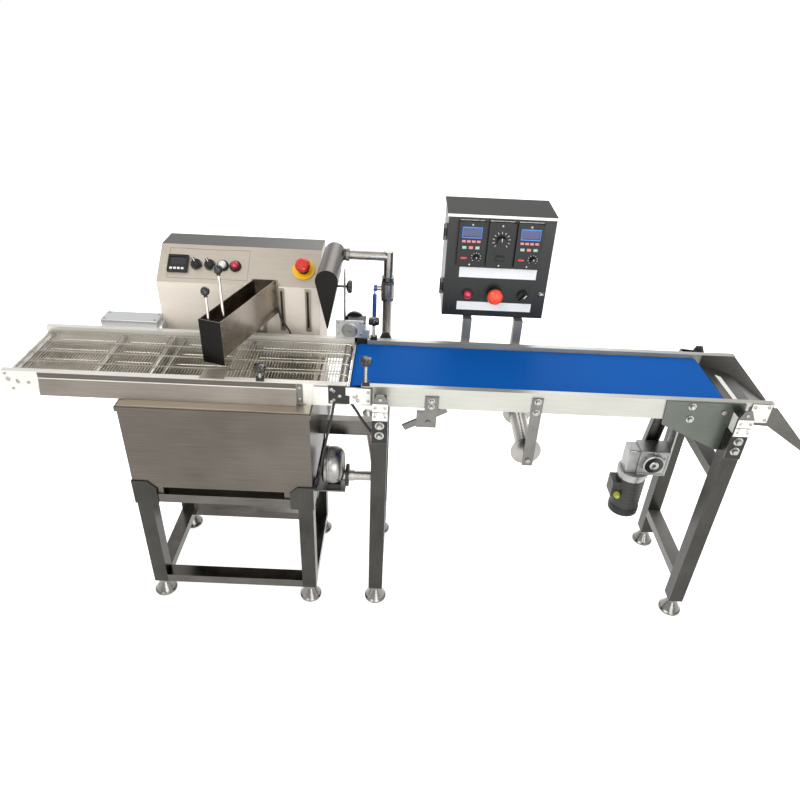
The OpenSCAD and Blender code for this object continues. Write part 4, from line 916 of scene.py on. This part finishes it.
@dataclass
class DoorInstruments:
    """Speed controllers, label plates and buttons on the control box's door."""

    left: float = 1030
    front: float = 252
    low: float = 756
    modules: tuple[float, ...] = (26, 98.5, 168)
    module_low: float = 138
    module_t: float = 12
    dial_out: float = 24.5
    handle_turn: float = 35

    def at(self, x: float, z: float, out: float) -> tuple[float, float, float]:
        """A point x from the door's left, z above its foot and out of its front."""
        return (self.left + x, self.front - out, self.low + z)

    def plate(self, x: Sequence[float], z: Sequence[float], out: float, thick: float) -> Shape:
        """A flat plate on the door, standing out of its front."""
        return slab(self.at(x[0], z[0], out + thick), self.at(x[1], z[1], out))

    def ticks(self, x: float, z: float, radii: Sequence[float], count: int) -> Shape:
        """Short marks round a dial, over three quarters of a turn.

        Args:
            x: dial's place along the door.
            z: dial's place up the door.
            radii: inner and outer radius of the marks.
            count: number of marks.

        Returns:
            The marks as one shape.
        """
        bar = slab((-0.5, -0.3, radii[0]), (0.5, 0, radii[1]))
        spot = self.at(x, z, self.module_t)
        return joined([bar.turned(Axis.Y.value, turn).moved(spot) for turn in np.linspace(-135, 135, count)])

    def build(self) -> None:
        """Faces of the three controllers, then dials, label plates, lamp, pointers and screws."""
        t, base = self.module_t, self.module_low
        screws: list[Shape] = []
        for i, x in enumerate(self.modules):
            flange = self.plate((x - 0.6, x + 64.6), (base - 0.6, base + 112.6), 0, 3)
            piece(f"controller_flange_{i}", flange, BLACK, Body.DOOR, 0.8)
            lip = self.plate((x + 2, x + 62), (base + 113, base + 115.5), 0, 2)
            piece(f"controller_lip_{i}", lip, BOLT, Body.DOOR, 0.4)
            screws += [button_screw(self.at(x + 32, base + z, t), Axis.FRONT, 2.6) for z in (6, 106)]
        piece("controller_screws", screws, BOLT, Body.DOOR)
        for i in (0, 2):
            self._keypad(i, self.modules[i])
        for i, body, x, z, radii, count, reach in ((0, Body.DIAL_LEFT, 73, 163, (10, 12.5), 9, 5.5),
                                                   (1, Body.DIAL_CENTRE, 130.5, 208, (17, 22), 11, 9.5),
                                                   (2, Body.DIAL_RIGHT, 213, 163, (10, 12.5), 9, 5.5)):
            piece(f"dial_ticks_{i}", self.ticks(x, z, radii, count), WHITE_INK, Body.DOOR)
            line = self.plate((x - 0.6, x + 0.6), (z + 1, z + reach), self.dial_out, 0.3)
            piece(f"pointer_{body.value}", line, WHITE_INK, body)
        rocker = [self.plate((119, 143), (base + 18, base + 32), t, 2),
                  self.plate((122, 140), (base + 20, base + 30), t + 2, 2.2)]
        piece("rocker_switch", rocker, BLACK, Body.DOOR, 0.8)
        strips = [self.plate((36, 230), (106, 133), 0, 1), self.plate((37, 228), (17, 40), 0, 1)]
        piece("label_plates", strips, PLATE, Body.DOOR, 0.3)
        piece("door_lens", lathe(LENS_DOME, self.at(62, 62, 6), Axis.FRONT), LAMP_RED, Body.DOOR)
        mark = slab((-0.9, -0.3, 1), (0.9, 0, 11.5)).turned(Axis.Y.value, self.handle_turn)
        piece("door_pointer", mark.moved(self.at(203, 62, 21)), WHITE_INK, Body.DOOR_SELECTOR)

    def _keypad(self, i: int, x: float) -> None:
        """Display in its frame, two rows of keys and a red bar on a controller.

        Args:
            i: the controller's number.
            x: its left edge on the door.
        """
        t, base = self.module_t, self.module_low
        bars = border(self.plate, (x + 8, x + 56), (base + 73, base + 101), (2, 3), t, 1.4)
        piece(f"display_frame_{i}", bars, BLUE_FRAME, Body.DOOR, 0.4)
        glass = self.plate((x + 10, x + 54), (base + 76, base + 98), t - 2, 0.8)
        piece(f"display_glass_{i}", glass, BLUE_GLASS, Body.DOOR)
        upper = [self.plate((x + k, x + k + 9), (base + 62, base + 68), t, 1.2) for k in (9, 21, 33, 45)]
        lower = [self.plate((x + k, x + k + 10), (base + 46, base + 53), t, 1.2) for k in (11, 27, 43)]
        piece(f"keys_pink_{i}", upper + lower[1:2], KEY_PINK, Body.DOOR, 0.4)
        piece(f"keys_green_{i}", lower[::2], KEY_GREEN, Body.DOOR, 0.4)
        piece(f"run_bar_{i}", self.plate((x + 9, x + 24), (base + 20, base + 25), t, 0.8), RED, Body.DOOR, 0.3)


@dataclass
class Fasteners:
    """Bolts and screws that show on the rails, plates and legs."""

    legs: tuple[float, float] = (886, 1729)
    plate_bolts: tuple[tuple[float, float, float], ...] = (
        (1254, 640, 10), (1254, 670, 10), (1006, 644, 9), (1006, 660, 9), (1614, 676, 11), (1617, 641, 11))

    def build(self) -> None:
        """Bolt heads on both sides' plates, and small screws along the rails."""
        bolts, screws = [], []
        for y, _, axis in LEG_SIDES:
            for x in self.legs:
                bolts += [hex_bolt((x, y, z), axis, 13) for z in (578, 606)]
                screws += [button_screw((x + dx, y, z), axis, 4.2) for dx in (-10, 10) for z in (640, 658)]
        for face, out, axis in RAIL_SIDES:
            y = face + PLATE_T * out
            bolts += [hex_bolt((x, y, z), axis, across) for x, z, across in self.plate_bolts]
            screws += [button_screw((x, y, z), axis) for x in (776, 856) for z in (652, 676)]
            screws += [button_screw((x, face, 660), axis) for x in (36, 60, 700, 735, 1785)]
        piece("hex_bolts", bolts, BOLT)
        piece("rail_screws", screws, BOLT)


@dataclass
class DriveDetails:
    """Fins, cap, gland and cover ring of the conveyor's gearmotor."""

    x: float = 1660
    z: float = 354
    face: float = 174
    motor_x: float = 1620
    motor_y: float = 208

    def motor(self, x: float, y: float, z: float) -> tuple[float, float, float]:
        """A point from the motor's axis, at the height of the gearbox."""
        return (self.motor_x + x, self.motor_y + y, self.z + z)

    def block(self, x: Sequence[float], y: Sequence[float], z: Sequence[float]) -> Shape:
        """A block along and up from the gearbox's shaft."""
        return slab((self.x + x[0], y[0], self.z + z[0]), (self.x + x[1], y[1], self.z + z[1]))

    def build(self) -> None:
        """A finned sleeve on the motor, its end cap, the gearbox's cover ring and bolts."""
        fins = np.stack([40.8 + 0.5 * (np.arange(60) % 6 < 3), np.linspace(-186, -66, 60)], 1)
        piece("motor_fins", lathe(fins, self.motor(0, 0, 0), Axis.Z, 48), MOTOR)
        cap = [(36, -190.2), (43, -190), (43.5, -172), (41, -164)]
        piece("motor_end_cap", lathe(cap, self.motor(0, 0, 0), Axis.Z, 48), BLACK)
        box = slab(self.motor(-55, -25, -131), self.motor(-23, 25, -77))
        piece("motor_terminal_box", box, MOTOR, bevel_mm=2)
        gland = [(9, 0), (9, 7), (7, 8), (7, 15), (4.5, 17)]
        piece("motor_gland", lathe(gland, self.motor(-40, -25, -118), Axis.FRONT, 12), GLAND)
        for name, finish, sides, profile in (
            ("cover", GEARBOX, 48, [(30.4, 0), (30.4, 2), (27, 3.4), (20, 3.6), (18, 1.2), (12, 1), (10.4, 0.6)]),
            ("seal", PHENOLIC, 48, [(26, 3.6), (25, 5), (15, 5), (13.6, 3.4)]),
            ("hub", BOLT, 36, [(13, 1), (13, 5.4), (11, 6.4), (4, 6.4), (3, 3.6)]),
        ):
            piece(f"gearbox_{name}", lathe(profile, (self.x, self.face, self.z), Axis.FRONT, sides), finish)
        piece("gearbox_neck", self.block((-72, -40), (184, 232), (-41, 38)), GEARBOX, bevel_mm=3)
        ribs = [self.block((d, d + 5), (178, 182), (-40, 40)) for d in (-41, 36)]
        ribs += [self.block((-40, 40), (178, 182), (d, d + 5)) for d in (-41, 36)]
        piece("gearbox_ribs", ribs, GEARBOX, bevel_mm=1)
        spots = arc(33.5, math.radians(30), math.radians(330), 6)
        bolts = [button_screw((self.x + dx, 180, self.z + dz), Axis.FRONT, 3.6) for dx, dz in spots]
        piece("gearbox_bolts", bolts, BOLT)


@dataclass
class Dressing:
    """Coloured covers on plates that share a node with others, loose sheets, and the cables."""

    legs: tuple[tuple[float, float], ...] = ((886, 0), (1729, 4))
    spacer: float = 34
    cord_steps: int = 36

    def build(self) -> None:
        """Transfer covers, leg tops, sheets of painted shade and painted light, the conveyor's end, and the cables as
        smooth curves.
        """
        self._transfer()
        self._legs()
        self._sheets()
        self._outfeed_end()
        self._cables()

    def _transfer(self) -> None:
        """Black plate with its screws over the gap, a white block, and the bright end of the outfeed rail."""
        dark, pale, bright, screws = [], [], [], []
        spots = ((771, 681, 5.2), (771, 648, 5.2), (790, 664, 5.2), (832, 652, PLATE_T))
        for face, out, axis in RAIL_SIDES:
            dark.append(on_side(face, out, 5.2, (763, 813), (641, 687.8)))
            pale.append(on_side(face + 5 * out, out, 3, (804, 828), (667, 687.8)))
            bright += [on_side(face + PLATE_T * out, out, 0.6, x, (642.4, 685.6)) for x in ((728.4, 763), (813, 861.6))]
            screws += [button_screw((x, face + deep * out, z), axis, 4.6) for x, z, deep in spots]
        piece("transfer_faces", bright, RAIL)
        piece("transfer_covers", dark, DARK_PLATE, bevel_mm=0.6)
        piece("transfer_blocks", pale, ACETAL, bevel_mm=0.8)
        piece("transfer_screws", screws, BOLT)

    def _legs(self) -> None:
        """Spacer blocks behind the leg plates, white pads in front of them and black plates below."""
        blocks, black, screws = [], [], []
        for x, short in self.legs:
            for (rail, _, _), (face, out, axis) in zip(RAIL_SIDES, LEG_SIDES):
                wide, thick = (x - 15.6, x + 15.6), self.spacer - short
                blocks.append(on_side(rail + short * out, out, thick, wide, (621.4, 666.6)))
                for z in (621, 645):
                    blocks.append(on_side(face, out, 2, (x - 18, x + 18), (z, z + 22)))
                    screws += [button_screw((x + dx, face + 2 * out, z + 11), axis, 3.4) for dx in (-12, 12)]
                black.append(on_side(face, out, 0.8, (x - 18.6, x + 18.6), (555, 618)))
                screws.append(button_screw((x, face, 678), axis, 4.6))
        piece("spacer_blocks", blocks, ACETAL, bevel_mm=0.8)
        piece("leg_black_plates", black, DARK_PLATE, bevel_mm=0.3)
        piece("leg_screws", screws, BOLT)

    def _sheets(self) -> None:
        """Painted shade on the box's and cabinet's tops, the cabinet's front as painted light, the service sheet, the
        drip cover's fold as painted shade and its strap, and the belt's supports.
        """
        for name, finish, bevel, low, high in (
            # Control box's top: a thin sheet of painted shade
            ("box_top_painted_shade", BOX_TOP_SHADE, 0, (1027.2, 256, 1019.8), (1293.8, 402.3, 1020.4)),
            # Cabinet's top: a thin sheet of painted shade
            ("cabinet_top_painted_shade", CABINET_TOP_SHADE, 0, (278.2, 380.5, 867.8), (705.8, 460.8, 868.5)),
            # Cabinet's front: a thin pale sheet of painted light
            ("cabinet_front_painted_light", LIT_CABINET_SHEET, 0, (278.3, 294.2, 367.6), (705.7, 294.9, 794.6)),
            ("service_sheet", LIT_CABINET_SHEET, 0.4, (294, 460.9, 386), (690, 461.9, 848)),
            # Drip cover's fold: a thin dark band of painted shade
            ("cover_fold_painted_shade", COVER_FOLD_SHADE, 0, (86.2, -17, 676), (687.8, -16.4, 687.8)),
            ("cover_bead", RAIL, 0.3, (86.2, -17.5, 673.4), (687.8, -16.2, 675.9)),
            ("cover_strap", BRACKET, 0.8, (689, -18, 636), (703, -15, 688)),
            ("splash_sheet", CABINET, 0, (505, 1, 660.4), (566, 214, 661.4)),
            ("vat_drip_edge", SHEET, 0, (284, -52, 632.05), (710, -20, 632.7)),
        ):
            piece(name, slab(low, high), finish, bevel_mm=bevel)
        # Dark strips beside the cabinet's upright strips: painted shadow
        strip_shadows = [slab((x + 4.4, 289.6, 680.6), (x + 9.6, 291.6, 784.4)) for x in (600, 669)]
        piece("strip_painted_shadows", strip_shadows, KNIFE)
        ribs = [slab((412, 461.8, z), (572, 464.6, z + 5)) for z in range(640, 800, 14)]
        piece("service_louvres", ribs, CABINET, bevel_mm=1.6)
        spots = [(x, z) for x in (304, 492, 680) for z in (396, 838)] + [(304, 617), (680, 617)]
        piece("service_screws", [button_screw((x, 461.9, z), Axis.Y, 4.2) for x, z in spots], BOLT)
        near = RAIL_SIDES[0][0]
        screws = [button_screw((696, -18, z), Axis.FRONT) for z in (650, 680)]
        screws += [button_screw((x, near, z), Axis.FRONT, 3.4) for x, z in ((10, 682), (34, 664), (20, 642))]
        piece("cover_screws", screws, BOLT)
        rods = [lathe([(5, 0.5), (5, 214.5)], (x, 0, 667.5), Axis.Y, 20) for x in (362, 545)]
        piece("belt_support_rods", rods, ROLLER)

    def _outfeed_end(self) -> None:
        """Wing roots inside the rails, the white wiper on the chute's floor, and the rails' end brackets."""
        root = [(1717, 661.5), (1804, 632.5), (1804, 689), (1717, 689)]
        roots = [prism(root, (0, y, 0), Axis.X.value, Axis.Z.value, 1.2) for y in (1.9, 214.6)]
        piece("wing_roots", roots, CHUTE)
        wiper = slab((0, 52, 0), (17, 172, 1.6)).turned(Axis.Y.value, 18.3).moved((1744, 0, 655.1))
        piece("chute_wiper", wiper, ACETAL, bevel_mm=0.4)
        brackets, screws = [], []
        for face, out, axis in RAIL_SIDES:
            brackets.append(on_side(face + 2 * out, out, 2.2, (1753, 1799), (639, 689)))
            spots = ((1760, 681), (1792, 682), (1792, 647))
            screws += [button_screw((x, face + 4.2 * out, z), axis, 3.8) for x, z in spots]
        piece("rail_end_brackets", brackets, RAIL, bevel_mm=0.6)
        piece("rail_end_screws", screws, BOLT)

    def _cables(self) -> None:
        """Probe cable over the far rail into the vat, and two drive cables under the transfer.

        Each is a round section along a cubic curve through its route, as long as the curve's own chords add up to.
        """
        probe = [(595, 283.4, 735.5), (602, 274, 729), (609, 261, 716), (625, 249, 700), (635, 241, 684),
                 (637, 240, 650), (637, 240, 600)]
        drive = [(776, -17, 641), (769, -15.5, 597), (745, -19, 481), (734, -23, 402), (729, -25, 387)]
        second = [(816, -14, 641), (830, -13, 617), (843, -14, 593), (866, -20, 563)]
        runs = (("probe_cable", probe, 2.5), ("drive_cable", drive, 3.2), ("second_drive_cable", second, 3.4))
        for name, route, radius in runs:
            path = smooth_path(route, self.cord_steps)
            line = (path - MID) * MM
            cord = piece(name, tube(path, radius, 12), RUBBER, replaces=("cables",))
            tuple(line[0])


@dataclass
class AirDetails:
    """End cap of the knife, the air line with its unions and valve, and the blower on its shelf."""

    knife_x: float = 744
    knife_front: float = 150
    knife_r: float = 27.6
    knife_tip: float = 125
    pipe_x: float = 886
    pipe_y: float = 335
    pipe_z: float = 876
    pipe_low: float = 379
    pipe_r: float = 12.7
    blower: tuple[float, float, float] = (748, 40, 412)

    def build(self) -> None:
        """The knife's cap, then the pipe and the blower, from the knife down to the shelf."""
        self._knife_cap()
        self._air_line()
        self._valve()
        self._blower()

    def _knife_cap(self) -> None:
        """A teardrop from an arc and the two straight sides that run from it to the tip."""
        side = math.acos(self.knife_r / self.knife_tip)
        round_top = arc(self.knife_r, -math.pi / 2 + side, 1.5 * math.pi - side, 40)
        outline = np.concatenate([round_top, [(-1.4, 1 - self.knife_tip), (1.4, 1 - self.knife_tip)]])
        at = (self.knife_x, self.knife_front, self.pipe_z)
        # The cap takes the near-black polished finish: painted shade
        piece("knife_cap", prism(outline, at, Axis.X.value, Axis.Z.value, 1.6), FLOW_FRONT_SHADE, Body.KNIFE, 0.5)

    def _air_line(self) -> None:
        """Straight pipes from the blower to the knife, with balls at the low bends and a six-sided valve body."""
        r, px, py, low = self.pipe_r, self.pipe_x, self.pipe_y, self.pipe_low
        ball = arc(14.7, -math.pi / 2 + 0.1, math.pi / 2 - 0.1, 12)
        line = [lathe([(r, 0), (r, 66)], (816, 40, low), Axis.X),
                tube([(882, 40, low), (859, 187.5, low), (836, py, low)], r, 32),
                lathe([(r, 0), (r, 50)], (836, py, low), Axis.X),
                lathe([(r, low), (r, 888), (r - 1.6, 889.4), (1, 889.8)], (px, py, 0), Axis.Z),
                lathe([(r, 0), (r, 121)], (765, py, self.pipe_z), Axis.X)]
        line += [lathe(ball, (x, y, low), Axis.Z) for x, y in ((882, 40), (836, py), (px, py))]
        line += [lathe([(r, 0), (19, 0), (19, 10), (r, 10)], (px, py, z), Axis.Z, 6) for z in (754, 800)]
        line.append(lathe([(r, 0), (18, 0), (18, 40), (r, 40)], (px, py, 762), Axis.Z))
        line.append(lathe([(7, 0), (7, 20)], (px - 28, py, 786), Axis.X))
        piece("air_line", line, PIPE, replaces=("air_pipe",))
        ring = [(13.6, 0), (16.5, 1.5), (16.5, 10), (13.6, 11.5)]
        unions = [lathe(ring, (px, py, z), Axis.Z) for z in (752, 810)]
        collar = [(13.4, 0), (18, 1), (18, 9), (13.4, 10)]
        unions.append(lathe(collar, (775, py, self.pipe_z), Axis.X))
        piece("pipe_unions", unions, CHROME, slot="bright_steel")

    def _valve(self) -> None:
        """The nut on the valve's stem and the blue grip of its lever."""
        nut = [(7.6, 0), (7.6, 6), (6, 8), (4, 8.4)]
        at = (self.pipe_x - 38.6, self.pipe_y, self.pipe_z - 90)
        piece("valve_nut", lathe(nut, at, Axis.X, 6), BOLT, Body.VALVE)
        piece("lever_grip", slab((846, 326.5, 690), (857, 343.5, 768)), BLUE_PAINT, Body.VALVE, 3.5)

    def _blower(self) -> None:
        """A spun casing with a rolled seam, its shelf and cradle, and the outlet with its flange."""
        x, y, z = self.blower
        casing = [(8, -10), (34, -10), (44, -8), (49, -3), (49.6, 4), (48, 5), (48, 8), (49.2, 9), (49.6, 18),
                  (48.6, 27), (45.4, 35), (39.5, 41.5), (31, 45.5), (20, 47), (6, 47.2)]
        piece("blower_casing", lathe(casing, self.blower, Axis.X, 64), SPUN, replaces=("blower",))
        shelf = [slab((x - 26, y - 30, 321), (x - 22, y + 30, 365)), slab((x - 26, y - 30, 344), (x + 50, y + 30, 348))]
        piece("blower_shelf", shelf, POST, bevel_mm=0.6)
        cradle = slab((x + 4, y - 26, 348), (x + 36, y + 26, 366))
        piece("blower_cradle", cradle, DARK_PLATE, bevel_mm=1.5)
        outlet = (x, y, z - 33)
        piece("blower_spigot", lathe([(15, 30), (15, 72)], outlet, Axis.X, 32), PIPE)
        flange = [(14, 50), (29, 50), (30, 51), (30, 57), (29, 58), (14, 58)]
        piece("blower_flange", lathe(flange, outlet, Axis.X, 40), DARK_PLATE)


@dataclass
class RearDrives:
    """Covers and motor ends of the two gearmotors behind the far rail."""

    box_face: float = 230.5

    def build(self) -> None:
        """Lids with rounded edges, the black motor end and the shaft cover."""
        piece("roller_drive_lid", slab((138.6, 231, 703.4), (287.4, 283.4, 708)), CAST, bevel_mm=1.2)
        piece("rod_drive_lid", slab((785.6, 234, 726.4), (833.4, 279.4, 729)), MOTOR, bevel_mm=1.2)
        dome = [(0.6, -8.4), (25.4, -8.4), (25.4, 0)] + arc(25.4, 0, math.pi / 2 - 0.05, 12, 9).tolist()
        piece("rod_motor_end", lathe(dome, (801.5, 286.2, 712.5), Axis.Y, 40), BLACK)
        seat = [(22, 0), (22, 3), (18, 4), (9, 4.2)]
        piece("roller_shaft_seat", lathe(seat, (202, 288, 667.5), Axis.Y, 36), BLACK)
        boss = [(21, 0), (21, 1.2), (18, 2), (6, 2), (5, 3), (1, 3.2)]
        piece("gearbox_face", lathe(boss, (792, self.box_face, 708), Axis.FRONT, 40), GEARBOX)
        screws = [button_screw((x, y, 708), Axis.Z, 3.6) for x in (147, 279) for y in (238, 276)]
        screws += [button_screw((x, self.box_face, z), Axis.FRONT, 3.4) for x in (763, 821) for z in (698, 730)]
        piece("lid_screws", screws, BOLT)


@dataclass
class BoxDetails:
    """Lip, latch and glands of the control box."""

    left: float = 1030
    right: float = 1291
    front: float = 252
    low: float = 756
    top: float = 1018
    lip_length: float = 267

    def build(self) -> None:
        """A bright lip along the top, a quarter-turn latch and three glands below."""
        fold = [(0, 0), (0, 4), (-6, 4), (-6, -1), (-5, -1), (-5, 3), (-1, 3), (-1, 0)]
        at = (self.left - 3, self.front + 3.5, self.top - 2)
        piece("box_lip", prism(fold, at, Axis.Y.value, Axis.Z.value, self.lip_length), RAIL)
        latch = [(8, 0), (8, 3), (6.5, 4), (6.5, 8), (5, 9)]
        at = (self.right - 12, self.front, 824)
        piece("box_latch", lathe(latch, at, Axis.FRONT, 28), CHROME, Body.DOOR, slot="bright_steel")
        gland = [(9, 0), (9, -6), (11, -6), (11, -14), (7, -16), (7, -22)]
        piece("box_glands", [lathe(gland, (x, 330, self.low), Axis.Z, 12) for x in (1110, 1150, 1190)], BLACK)


def main() -> None:
    """Builds the stage, dresses every CAD node and adds the detailed pieces."""
    Stage().build()
    for name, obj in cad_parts.items():
        obj.data.materials.clear()
        obj.data.materials.append(NODE_FINISH[name].material())
    for part in (WireBelt(), PanelInstruments(), FlowLevers(), StarKnobs(), DoorInstruments(), Fasteners(),
                 DriveDetails(), Dressing(), AirDetails(), RearDrives(), BoxDetails()):
        part.build()


if __name__ == "__main__":
    main()
